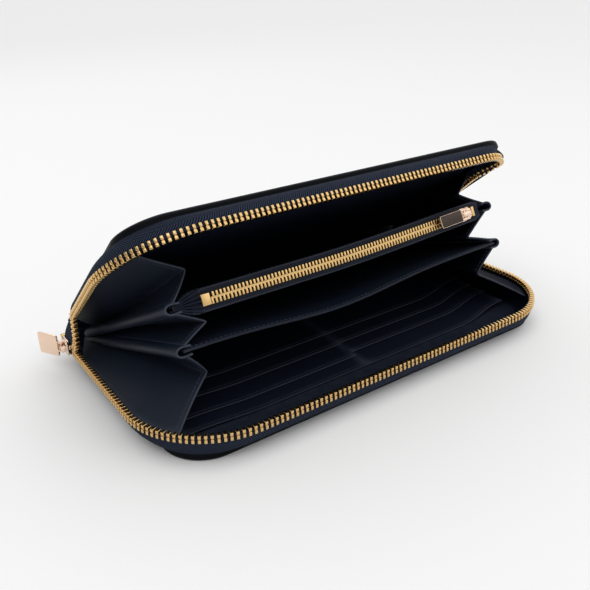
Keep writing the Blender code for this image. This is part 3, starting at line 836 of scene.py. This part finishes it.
def bead_strip(shape, foot, up, pair):
    """The beaded edge of the tape under the teeth, round one stretch of the bend."""
    line, normals, bends = open_row("upper_cover", foot, up)
    angles = OPEN["upper_cover"] * (1 - bends)
    held = [k for k in range(len(bends)) if bends[k] > 0 and OPEN[pair[0]] <= angles[k] <= OPEN[pair[1]]]
    reach = slice(max(held[0] - 1, 0), held[-1] + 2)
    tube(shape, line[reach] + normals[reach] * BEAD_RISE, BEAD_RADIUS, 1, up=(1, 0, 0))


def teeth(prefix, body, foot, up, phase):
    """The row's teeth. Those round the bend to the slider are grouped by the stretch of the bend they lie on.
    """
    groups, template = {}, tooth()
    for point, along, normal, share in row_places(body, foot, up, phase):
        shape = groups.setdefault(stretch_of(share), Shape())
        out = np.cross(along, normal) * up
        shape.stamp(template, axes(point, along, out, np.cross(out, along) * up))
    name, node = f"{prefix}_teeth_row", f"{prefix}_zip_teeth"
    for pair, shape in groups.items():
        if pair:
            bead_strip(shape, foot, up, pair)
        finish_stretch(shape, name, pair, body, node, [BRASS, TAPE], foot)


def metal_block(name, node, body, bevel=0.35 * MM, reach=0.0, shift=0.0, rise=0.0):
    """A stop with rounded edges, the size of its CAD solid. reach is the tape that leads to it."""
    shut = Matrix.Translation((shift, 0, rise)) @ opening(-OPEN[body])
    corners = [shut @ v.co for v in frame["nodes"][node].data.vertices]
    low, high = (Vector([pick(c[k] for c in corners) for k in range(3)]) for pick in (min, max))
    size, middle = high - low, (low + high) / 2
    shape = Shape()
    shape.stamp(rounded_block(size, bevel, 3), Matrix.Translation(middle))
    if reach:
        tape = rounded_block((0.9 * MM, reach, size.z * 0.8), 0.2 * MM)
        shape.stamp(tape, Matrix.Translation((middle.x, low.y - reach / 2, middle.z)), 1)
    add_piece(shape, name, [BRASS, TAPE], body, node)


def slider_plate(length, nose, waist, tail, thickness):
    """A zip slider's plate in plan: wide where the rows come in, narrow where the closed chain leaves."""
    half = length / 2
    side = [
        (-half, nose * 0.62),
        (-half * 0.90, nose * 0.86),
        (-half * 0.62, nose),
        (-half * 0.10, nose * 0.97),
        (half * 0.30, waist),
        (half * 0.80, tail),
        (half, tail * 0.82),
    ]
    return rounded_plate(side + [(x, -y) for x, y in reversed(side)], thickness, 0.28 * MM)


def squared(value):
    """A cosine or sine pushed outwards, which squares off the round section it draws."""
    return copysign(abs(value) ** 0.6, value)


def slider_bridge(shape, place, length, top):
    """The arch over a slider that its pull tab hangs on."""
    arch = []
    for a in spread(-90.0, 90.0, 16):
        turn = radians(a)
        rise = (1.65 * cos(turn) ** 0.5 - 0.2) * MM
        arch.append((squared(sin(turn)) * length * 0.36, top + rise))
    rings = []
    for k, (x, z) in enumerate(arch):
        before, after = arch[max(k - 1, 0)], arch[min(k + 1, len(arch) - 1)]
        tangent = Vector((after[0] - before[0], 0, after[1] - before[1])).normalized()
        normal = Vector((-tangent.z, 0, tangent.x))
        ring = []
        for b in spread(0.0, 2 * pi, 10)[:-1]:
            wide, deep = squared(cos(b)) * 1.1 * MM, squared(sin(b)) * 0.38 * MM
            ring.append(place @ (Vector((x, wide, z)) + normal * deep))
        rings.append(ring)
    loft(shape, rings)


def slider(name, node, place, size, plate, half_gap):
    """Two plates with turned flanges round the chain, a post between them and an arched bridge."""
    length, width = size
    half_width = width / 2
    shape = Shape()

    def put(template, *spot):
        shape.stamp(template, place @ Matrix.Translation(spot))

    faces = slider_plate(length, half_width, half_width * 0.82, half_width * 0.72, plate)
    for lift in (half_gap, -half_gap - plate):
        put(faces, 0, 0, lift)
    guide = rounded_block((length * 0.80, 0.75 * MM, 0.8 * MM), 0.2 * MM)
    for side in (-1, 1):
        for lift in (half_gap - 0.28 * MM, -half_gap + 0.28 * MM):
            put(guide, 0.3 * MM, side * half_width * 0.80, lift)
    post = rounded_block((2.0 * MM, width * 0.24, 2 * half_gap + 0.4 * MM), 0.3 * MM)
    put(post, -length / 2 + 1.5 * MM, 0, 0)
    slider_bridge(shape, place, length, half_gap + plate)
    add_piece(shape, name, [ROSE], node, node, drawn_open=True)


def tab(name, node, place, size, neck, face):
    """A plain plate with softened edges on two arms, joined by the pin that turns in the bridge."""
    length, width, thickness = size
    shape = Shape()
    plate = rounded_plate(round_rectangle(length, width, 0.7 * MM), thickness, 0.22 * MM, 3)
    # The plate's broad faces take the face material, which on the coin tab is a painted dark reflection.
    slots = [1 if len(side) > 8 else 0 for side in plate[1]]
    shape.stamp(plate, place @ Matrix.Translation((neck + length / 2, 0, -thickness / 2)), slots)
    arm = rounded_block((neck + 1.3 * MM, 1.0 * MM, thickness * 0.95), 0.22 * MM)
    for side in (-1, 1):
        shape.stamp(arm, place @ Matrix.Translation((neck / 2 - 0.1 * MM, side * 2.1 * MM, 0)))
    pin = [place @ Vector((0, y * MM, 0)) for y in (-2.3, -2.2, -1.0, 1.0, 2.2, 2.3)]
    tube(shape, pin, 0.42 * MM, up=place.col[0][:3])
    add_piece(shape, name, [ROSE, face], node, node, drawn_open=True)


def main_zip():
    zip_tape("lower", "lower_cover")
    zip_tape("upper", "upper_cover")
    teeth("lower", "lower_cover", LOWER_TOOTH_FOOT, 1, 0.0)
    teeth("upper", "upper_cover", UPPER_TOOTH_FOOT, -1, TOOTH_PITCH / 2)
    metal_block("main_bottom_stop", "zip_bottom_stop", "lower_cover", reach=9.0 * MM)
    metal_block("lower_top_stop", "lower_zip_top_stop", "lower_cover")
    metal_block("upper_top_stop", "upper_zip_top_stop", "upper_cover")
    up, outwards = (0, 0, 1), Vector((-1, 0, 0))
    place = axes(SLIDER_MIDDLE, (0, 1, 0), up, outwards)
    slider("main_slider_body", "main_slider", place, (7.8 * MM, 6.9 * MM), plate=1.0 * MM, half_gap=1.4 * MM)
    cosine, sine = cos(TAB_OPEN), sin(TAB_OPEN)
    tab_place = axes(SLIDER_MIDDLE + outwards * 3.4 * MM, (cosine, sine, 0), up, (-sine, cosine, 0))
    tab_size = (10.4 * MM, 9.8 * MM, 1.0 * MM)
    tab("main_tab_plate", "main_pull_tab", tab_place, tab_size, 2.0 * MM, ROSE)


# ---- card slots ----
CARD_BASE = 3.8 * MM
CARD_THICKNESS = 0.62 * MM
SLOT_BACK_Y = BACK_Y - 14 * MM

# How far each panel reaches from the spine and where each column ends, in millimetres.
CARD_STEPS = {"left": (86.0, 78.0, 67.0, 57.0), "right": (86.0, 74.5, 66.0, 57.0)}
CARD_ENDS = {"left": (-88.0, -3.02), "right": (-2.98, 84.5)}


def card_edge_shift(x):
    """How far a slot's edge is drawn back, and up, where the panels run into the ends, most at the right."""
    pull = smooth((abs(x) - 54 * MM) / (28 * MM))
    share = 1.0 if x > 0 else 0.3
    return 3.4 * MM * pull * share, 2.3 * MM * pull * share


def card_panel(side, level):
    reach = CARD_STEPS[side][level] * MM
    x0, x1 = (v * MM for v in CARD_ENDS[side])

    def place(x, y):
        back_shift, lift = card_edge_shift(x)
        share = (BACK_Y - y) / reach
        curl = 0.35 * MM * smooth((share - 0.86) / 0.14)
        sag = -0.12 * MM * sin(pi * (x - x0) / (x1 - x0)) * share
        seat = CARD_BASE + level * CARD_THICKNESS
        return x, y + back_shift * share, seat + curl + sag + lift * share

    rows = grid(spread(x0, x1, 28), spread(SLOT_BACK_Y, BACK_Y - reach, 14), place)
    shape = Shape()
    sheet(shape, rows, CARD_THICKNESS, 0, 1)
    seam = [(x, y + 1.5 * MM, z + 0.27 * MM) for x, y, z in (row[-1] for row in rows)]
    stitches(shape, seam, (0, 0, 1), 2, 1.6 * MM, 0.07 * MM)
    number, materials = f"{side}_{level + 1}", [INNER, SLOT_EDGE, THREAD]
    add_piece(shape, f"card_panel_{number}", materials, "lower_cover", f"card_slot_{number}")


def slip_pocket(half=81.5 * MM):
    """The flat pocket under the upper cover's lining, which hangs a little at its middle."""

    def place(x, y):
        bow = 0.5 * MM * sin(pi * (x + half) / (2 * half)) * smooth((BACK_Y - y) / (88 * MM))
        return x, y, THICKNESS - 4.15 * MM - bow

    shape = Shape()
    rows = grid(spread(-half, half, 30), spread(SLOT_BACK_Y, FRONT_Y + 10 * MM, 12), place)
    sheet(shape, rows, 0.6 * MM, 0, 1)
    name, node = "upper_flat_pocket", "upper_slip_pocket"
    add_piece(shape, name, [INNER, SLOT_EDGE], "upper_cover", node)


# ---- dividers ----
# Distances from the hinge: where the dividers start, the plain one's front and the line of its stitches.
PANEL_START = 12 * MM
PANEL_REACH = 84 * MM
SEAM_REACH = 82.3 * MM


def edge_at(s, hand):
    """A divider's half width at a distance s from the hinge. It is a little narrower at the right."""
    return DIVIDER_HALF_WIDTH - 2.4 * MM * (hand > 0) + SPINE_FLARE * (1 - s / PANEL_REACH)


def plain_middle(x, s):
    """The plain divider's height. It droops, deepest a little left of its middle."""
    droop = -3.9 * exp(-(((x / MM + 12) / 38) ** 2)) - 0.5 + 0.7 * x / DIVIDER_HALF_WIDTH
    return 8.1 * MM + droop * MM * s / PANEL_REACH


def divider_rows(middle, near, far, columns, steps):
    """A divider's middle surface, from its left edge to its right."""

    def place(share, s):
        x = share * edge_at(s, share)
        return x, HINGE.y - s, middle(x, s)

    return grid(spread(-1.0, 1.0, columns), spread(near, far, steps), place)


def divider_layer(shape, name, body, node):
    add_piece(shape, name, [GUSSET, SLOT_EDGE, THREAD], body, node)


def plain_divider():
    for layer, sign in (("lower", -1), ("upper", 1)):
        rise = sign * 0.25 * MM

        def middle(x, s):
            return plain_middle(x, s) + rise

        shape = Shape()
        sheet(shape, divider_rows(middle, PANEL_START, PANEL_REACH, 40, 20), 0.45 * MM, 0, 1)
        line = []
        for x in spread(-81 * MM, 81 * MM, 60):
            line.append((x, HINGE.y - SEAM_REACH, plain_middle(x, SEAM_REACH) + 1.9 * rise))
        stitches(shape, line, (0, 0, sign), 2)
        name = f"plain_divider_{layer}"
        divider_layer(shape, f"{name}_sheet", "plain_divider", f"{name}_leather")


def pocket_spread(s):
    """The coin pocket's thickness, which grows from its back to its mouth."""
    return 3.0 * MM + 5.8 * MM * (s - PANEL_START) / (70 * MM)


def pocket_middle(x, s):
    """The coin pocket's middle height. Its left end hangs and its right end rides up."""
    lift = -1.3 + 4.2 * smooth((x / MM + 20) / 130)
    return 9.3 * MM + pocket_spread(s) / 2 + lift * MM * s / POCKET_FRONT


def pocket_thickness(x, s):
    """The coin pocket's thickness, pinched shut at its two sides."""
    fade = smooth((abs(x) - 72 * MM) / (10 * MM))
    return pocket_spread(s) * (1 - fade) + 2.3 * MM * fade


def pocket_walls():
    """The coin pocket's two walls, stitched along the zip's window."""
    for side, sign in (("lower", -1), ("upper", 1)):

        def wall(x, s, proud=-0.38 * MM):
            return pocket_middle(x, s) + sign * (pocket_thickness(x, s) / 2 + proud)

        shape = Shape()
        sheet(shape, divider_rows(wall, PANEL_START, POCKET_FRONT, 56, 18), 0.76 * MM, 0, 1)
        s = POCKET_FRONT - 1.7 * MM
        line = [(x, HINGE.y - s, wall(x, s, 0.02 * MM)) for x in spread(-78 * MM, 78 * MM, 52)]
        stitches(shape, line, (0, 0, sign), 2)
        name = f"coin_pocket_{side}"
        divider_layer(shape, f"{name}_sheet", "coin_pocket", f"{name}_wall")


COIN_Y = HINGE.y - SEAM_REACH
CHAIN_LEFT, CHAIN_RIGHT = -66.5 * MM, 62.5 * MM
CHAIN_DEPTH = 0.6 * MM
COIN_PITCH = 1.6 * MM
CAD_COIN_Z = 13.7 * MM


def coin_z(x):
    """The height of the coin zip's middle line."""
    return pocket_middle(x, POCKET_FRONT)


def coin_line(low, high, depth, offset, count):
    """A line along the mouth of the coin pocket."""
    return [(x, COIN_Y - depth, coin_z(x) + offset) for x in spread(low, high, count)]


def coin_tapes(inner=0.25 * MM):
    """Two strips either side of the chain, with a folded lip that frames the window."""
    for side, sign in (("lower", -1), ("upper", 1)):

        def place(x, t):
            outer = min(pocket_thickness(x, POCKET_FRONT) / 2, 4.4 * MM) - 0.2 * MM
            depth = 0.1 * MM + 0.35 * MM * sin(pi * t)
            return x, COIN_Y - depth, coin_z(x) + sign * (outer + (inner - outer) * t)

        shape = Shape()
        sheet(shape, grid(spread(-74.5 * MM, 75.5 * MM, 60), spread(0.0, 1.0, 6), place), 0.5 * MM)
        lip = coin_line(-72 * MM, 73 * MM, 0.25 * MM, sign * 4.05 * MM, 50)
        tube(shape, lip, 0.42 * MM, 1)
        seam = coin_line(-71 * MM, 72 * MM, 0.45 * MM, sign * 3.2 * MM, 50)
        stitches(shape, seam, (0, -1, 0), 2, 1.7 * MM, 0.11 * MM)
        name, materials = f"coin_zip_{side}", [INNER, SLOT_EDGE, THREAD]
        add_piece(shape, f"{name}_strip", materials, "coin_pocket", f"{name}_tape")


def coin_chain():
    """The meshed chain: two rows of fine teeth that interlock on the middle line."""
    shape = Shape()
    leg = rounded_block((0.95 * MM, 1.5 * MM, 2.45 * MM), 0.2 * MM)
    head = rounded_block((1.15 * MM, 1.15 * MM, 0.75 * MM), 0.22 * MM)
    for k in range(int((CHAIN_RIGHT - CHAIN_LEFT) / COIN_PITCH)):
        for sign in (-1, 1):
            x = CHAIN_LEFT + COIN_PITCH * (k + 0.5 + 0.25 * sign)
            shape.stamp(leg, Matrix.Translation((x, COIN_Y - CHAIN_DEPTH, coin_z(x) + sign * 1.05 * MM)))
            shape.stamp(head, Matrix.Translation((x, COIN_Y - 0.85 * MM, coin_z(x) - sign * 0.12 * MM)))
    add_piece(shape, "coin_chain_teeth", [BRASS], "coin_pocket", "coin_zip_chain")


def pleats():
    """The tape's left end, gathered into a fan of pleats down to the pocket's corner."""

    def place(t, v):
        x = -70.0 * MM - 11.5 * MM * t
        half = 4.1 * MM * (1 - smooth(t)) + 0.9 * MM * smooth(t)
        depth = 0.75 * MM * sin(pi * min(1.0, t * 1.15 + 0.08)) ** 0.7
        return x, COIN_Y - CHAIN_DEPTH - depth * cos(v * 4.5 * pi), coin_z(x) + half * v

    shape = Shape()
    sheet(shape, grid(spread(0.0, 1.0, 16), spread(-1.0, 1.0, 40), place), 0.4 * MM, round_back=True)
    shape.finish("coin_tape_pleats", [INNER], "coin_pocket")


def coin_stop(name, node, x, shift=0.0):
    """A stop of the coin zip, set level with the chain where the pocket's mouth curves."""
    metal_block(name, node, "coin_pocket", 0.3 * MM, shift=shift, rise=coin_z(x) - CAD_COIN_Z)


def coin_zip():
    coin_tapes()
    coin_chain()
    pleats()
    coin_stop("coin_box_stop", "coin_zip_bottom_stop", CHAIN_LEFT - 2 * MM)
    coin_stop("coin_end_stop", "coin_zip_top_stop", CHAIN_RIGHT + 8.7 * MM, -0.8 * MM)
    turn = opening(OPEN["coin_pocket"])
    x = CHAIN_RIGHT + 2.3 * MM
    slope = (coin_z(x + MM) - coin_z(x - MM)) / (2 * MM)
    along = Vector((1, 0, slope)).normalized()
    across, out = Vector((-along.z, 0, along.x)), Vector((0, -1, 0))
    middle = Vector((x, COIN_Y - CHAIN_DEPTH, coin_z(x)))
    place = turn @ axes(middle, along, across, out)
    slider("coin_slider_body", "coin_slider", place, (8.0 * MM, 6.2 * MM), plate=0.9 * MM, half_gap=1.1 * MM)
    tab_place = turn @ axes(middle + out * 3.0 * MM, -along, across, out)
    tab_size = (13.4 * MM, 5.6 * MM, 0.8 * MM)
    tab("coin_tab_plate", "coin_pull_tab", tab_place, tab_size, 3.4 * MM, PAINTED_REFLECTION_ROSE)


# ---- gussets ----
GUSSET_THICKNESS = 0.85 * MM
LOOP_LIP = 1.85 * MM

# Distances from the hinge: where the gussets start and how far along a divider's side they reach.
GUSSET_START = 1.6 * MM
SIDE_RUN = 81.9 * MM
FOLD_RUN = 78.0 * MM


def lower_outer():
    """Along the inside of the lower row of teeth, from near the spine round towards the front corner."""
    radius, z = ROW_CORNER - 2.4 * MM, 9.3 * MM
    centre_x, centre_y = ROW_HALF_WIDTH - ROW_CORNER, ROW_FRONT_Y + ROW_CORNER
    points = [(93.4 * MM, 49.5 * MM, z), (95.6 * MM, 44 * MM, z), (97.6 * MM, 39 * MM, z)]
    points += [(centre_x + radius, y, z) for y in spread(34 * MM, centre_y, 10)[:-1]]
    for a in spread(0.0, radians(39.6), 6):
        points.append((centre_x + radius * cos(a), centre_y - radius * sin(a), z))
    points = as_array(points)
    lengths = run_lengths(points)

    def place(t):
        return Vector([float(np.interp(t * lengths[-1], lengths, points[:, k])) for k in range(3)])

    return place


def upper_outer(hand):
    """Along the inside of the upper row. It stops further in at the right, where that row is drawn in."""
    start = Vector((94.6 * MM, 50.8 * MM, THICKNESS - 3.6 * MM))
    end_x = 89.8 * MM if hand < 0 else 86.5 * MM
    end = Vector((end_x, -27.6 * MM, THICKNESS - 3.5 * MM))

    def place(t):
        bow = sin(pi * t) * 3.0 * MM
        return opened(start.lerp(end, t) + Vector((bow, 0, 0)), "upper_cover")

    return place


def divider_side(hand, body, z, offset):
    """A line up a divider's side, at the lower or upper lip of the loop round it."""

    def place(t):
        s = GUSSET_START + SIDE_RUN * t
        x = edge_at(s, hand) - 0.8 * MM
        return opened((x, HINGE.y - s, z(hand * x, s) + offset), body)

    return place


def fold_line(x, angle, back_angle):
    """The crease of a V fold, which runs outwards as it goes back to the spine."""

    def place(t):
        degrees = back_angle + (angle - back_angle) * smooth(t * 1.4)
        return polar((x + 14.6 * (1 - t)) * MM, GUSSET_START + FOLD_RUN * t, degrees)

    return place


def v_row(outer, tip, inner, bow):
    """One crosswise line of a V fold: two gently bowed panels that meet in a rounded crease."""
    points = [outer.lerp(tip, u) for u in spread(0.0, 0.93, 10)]
    entry, leave = points[-1], tip.lerp(inner, 0.10)
    points += [entry.lerp(tip, u).lerp(tip.lerp(leave, u), u) for u in spread(0.0, 1.0, 5)[1:]]
    points += [tip.lerp(inner, u) for u in spread(0.10, 1.0, 9)[1:]]
    lift, out = (inner - outer).normalized(), Vector((1, 0, 0))
    shaped = []
    for point, u in zip(points, spread(0.0, 1.0, len(points) - 1)):
        bowed = out * sin(2 * pi * u) * 0.6 + lift * sin(pi * u) * 0.2
        shaped.append(point + bowed * bow)
    return shaped


def gusset(side, level, hand, curves, bow):
    """A V fold sewn from outer edge to divider, with a painted, stitched front edge."""
    outer, tip, inner = curves
    rows = [v_row(outer(t), tip(t), inner(t), bow) for t in spread(0.0, 1.0, 22)]
    middle = np.array([[(hand * p.x, p.y, p.z) for p in row] for row in rows]).transpose(1, 0, 2)
    shape = Shape()
    sheet(shape, middle, GUSSET_THICKNESS, 0, 1)
    front = middle[:, -1]
    run = unit(front - middle[:, -3])
    normal = unit(np.cross(unit(np.gradient(front, axis=0)), run))
    for sign in (-1, 1):
        line = front - run * 1.5 * MM + normal * sign * 0.44 * MM
        for panel in (slice(1, 13), slice(15, len(line) - 1)):
            stitches(shape, line[panel], normal[panel].mean(axis=0) * sign, 2, 1.8 * MM, 0.14 * MM)
    # The right-hand folds take the darker lining leather instead of the gusset leather: painted shade on the
    # side turned from the light.
    made = shape.finish(f"{side}_fold_{level}", [GUSSET if hand < 0 else LINING_AND_FOLD_SHADE, RAW_EDGE, THREAD])
    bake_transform(made)
    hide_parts(f"{side}_gusset_{level}")


def loop(name, hand, body, z):
    """Where a gusset wraps a divider's side: a folded loop, open at the front."""

    def place(a, t):
        s = (5 + 79.3 * t) * MM
        edge, turn = edge_at(s, hand), a * radians(118)
        x = edge + 0.3 * MM + 2.5 * MM * cos(turn) - 2.0 * MM * smooth((abs(a) - 0.72) / 0.28)
        return hand * x, HINGE.y - s, z(hand * edge, s) + 1.8 * MM * sin(turn)

    shape = Shape()
    sheet(shape, grid(spread(-1.0, 1.0, 22), spread(0.0, 1.0, 20), place), GUSSET_THICKNESS, 0, 1)
    shape.finish(name, [GUSSET, RAW_EDGE], body)


def gussets():
    lower, plain, coin, upper = "lower_cover", "plain_divider", "coin_pocket", "upper_cover"
    for side, hand in (("left", -1), ("right", 1)):
        inward = 1.2 * (hand > 0)
        plain_sides = [divider_side(hand, plain, plain_middle, lip) for lip in (-LOOP_LIP, LOOP_LIP)]
        coin_sides = [divider_side(hand, coin, pocket_middle, lip) for lip in (-LOOP_LIP, LOOP_LIP)]
        lower_curves = lower_outer(), fold_line(73 - inward, 7.3, 9.0), plain_sides[0]
        middle_curves = plain_sides[1], fold_line(69 - inward, 20.9, 22), coin_sides[0]
        upper_curves = coin_sides[1], fold_line(71 - inward, 36, 34.5), upper_outer(hand)
        gusset(side, "lower", hand, lower_curves, 1.2 * MM)
        gusset(side, "middle", hand, middle_curves, 0.5 * MM)
        gusset(side, "upper", hand, upper_curves, -1.0 * MM)
        loop(f"{side}_loop_plain", hand, plain, plain_middle)
        loop(f"{side}_loop_coin", hand, coin, pocket_middle)


# ---- spine ----
def spine_curve(depth, bulge):
    """From the lower cover's back edge round to the upper one's, a depth in from their outer faces."""
    angle = OPEN["upper_cover"]
    start = Vector((0, BACK_Y + 0.3 * MM, depth))
    end = opened((0, BACK_Y + 0.3 * MM, THICKNESS - depth), "upper_cover")
    leave = start + Vector((0, bulge, 0))
    arrive = end + Vector((0, cos(angle), -sin(angle))) * bulge
    return [
        start * (1 - t) ** 3 + leave * 3 * t * (1 - t) ** 2 + arrive * 3 * t * t * (1 - t) + end * t**3
        for t in spread(0.0, 1.0, 60)
    ]


# Each part of the spine: its name, the two bodies at its ends and its first and last curve points.
SPINE_PARTS = (
    ("lower", ("lower_cover", "plain_divider"), 0, 32),
    ("middle", ("plain_divider", "coin_pocket"), 32, 42),
    ("upper", ("coin_pocket", "upper_cover"), 42, 60),
)


def spine(node, depth, thickness, bulge, half_width, material):
    curve = spine_curve(depth, bulge)
    for level, bodies, first, last in SPINE_PARTS:
        part = curve[first : last + 1]
        rows = grid(part, spread(-half_width, half_width, 30), lambda p, x: (x, p.y, p.z))
        shape = Shape()
        sheet(shape, rows, thickness, 0, 1, round_back=True)
        made = shape.finish(f"{node}_{level}", [material, PAINT])
        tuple(part[0])
        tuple(part[-1])
        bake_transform(made)
        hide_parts(node)


# ---- hidden boards, floor, light, camera ----
def carried_over():
    """CAD nodes whose own shape stays, with their finished materials."""
    for node in ("lower_cover_board", "upper_cover_board"):
        frame["nodes"][node].data.materials.clear()
        frame["nodes"][node].data.materials.append(BOARD)


def floor():
    """A pale sheet just under the wallet, wide enough to fill the view."""
    places = spread(-12.0, 12.0, 8)
    shape = Shape()
    points = [(x, y, -0.05 * MM) for y in places for x in places]
    shape.add(points, ring_faces(len(places), len(places), closed=False))
    shape.finish("studio_floor", [studio_paper("studio_floor", (0.90, 0.90, 0.90))])


def area_light(name, place, target, size, power):
    data = bpy.data.lights.new(name, "AREA")
    data.shape = "RECTANGLE"
    data.size, data.size_y = size
    data.energy = power
    lamp = bpy.data.objects.new(name, data)
    lamp.location = place
    lamp.rotation_euler = (Vector(target) - Vector(place)).to_track_quat("-Z", "Y").to_euler()
    bpy.context.collection.objects.link(lamp)


def world():
    """Soft white surroundings, brighter overhead and towards the right."""
    made = bpy.data.worlds.new("studio")
    made.use_nodes = True
    nodes, links = made.node_tree.nodes, made.node_tree.links
    split, fade = nodes.new("ShaderNodeSeparateXYZ"), nodes.new("ShaderNodeMapRange")
    links.new(nodes.new("ShaderNodeTexCoord").outputs["Generated"], split.inputs[0])
    links.new(split.outputs["Z"], fade.inputs["Value"])
    fade.inputs["To Min"].default_value = 0.60
    fade.inputs["To Max"].default_value = 1.10
    sky = nodes["Background"]
    sky.inputs["Color"].default_value = (1.0, 1.0, 1.0, 1.0)
    slant = nodes.new("ShaderNodeMath")
    slant.operation = "MULTIPLY_ADD"
    slant.inputs[1].default_value = 0.40
    links.new(split.outputs["X"], slant.inputs[0])
    links.new(fade.outputs["Result"], slant.inputs[2])
    links.new(slant.outputs[0], sky.inputs["Strength"])
    return made


def studio():
    bpy.context.scene.world = world()
    bpy.context.scene.view_settings.view_transform = "Standard"
    area_light("key", (-0.55, -0.35, 0.95), (0, 0, 0.02), size=(0.9, 0.7), power=1.7)
    area_light("fill", (0.6, -0.7, 0.7), (0, 0, 0.02), size=(0.8, 0.8), power=0.5)
    area_light("rim", (-0.2, 0.9, 0.8), (0, 0, 0.04), size=(1.2, 0.4), power=0.8)


def camera():
    data = bpy.data.cameras.new("camera")
    data.lens = 42.19
    data.sensor_width = 36.0
    data.clip_start = 10 * MM
    viewer = bpy.data.objects.new("camera", data)
    viewer.location = (-0.16767, -0.22565, 0.15584)
    viewer.rotation_euler = (1.1257, 0.02486, -0.60958)
    bpy.context.collection.objects.link(viewer)
    bpy.context.scene.camera = viewer


def main():
    camera()
    floor()
    studio()
    for prefix, body in (("lower", "lower_cover"), ("upper", "upper_cover")):
        cover(prefix, body, cover_height(body))
        inner_lining(prefix, body)
    main_zip()
    for side, steps in CARD_STEPS.items():
        for level in range(len(steps)):
            card_panel(side, level)
    slip_pocket()
    plain_divider()
    pocket_walls()
    coin_zip()
    gussets()
    spine("spine_leather", 0.65 * MM, 1.1 * MM, 8.0 * MM, HALF_WIDTH, COVER)
    spine("spine_lining", 2.9 * MM, 0.6 * MM, 6.0 * MM, HALF_WIDTH, LINING_AND_FOLD_SHADE)
    carried_over()


main()
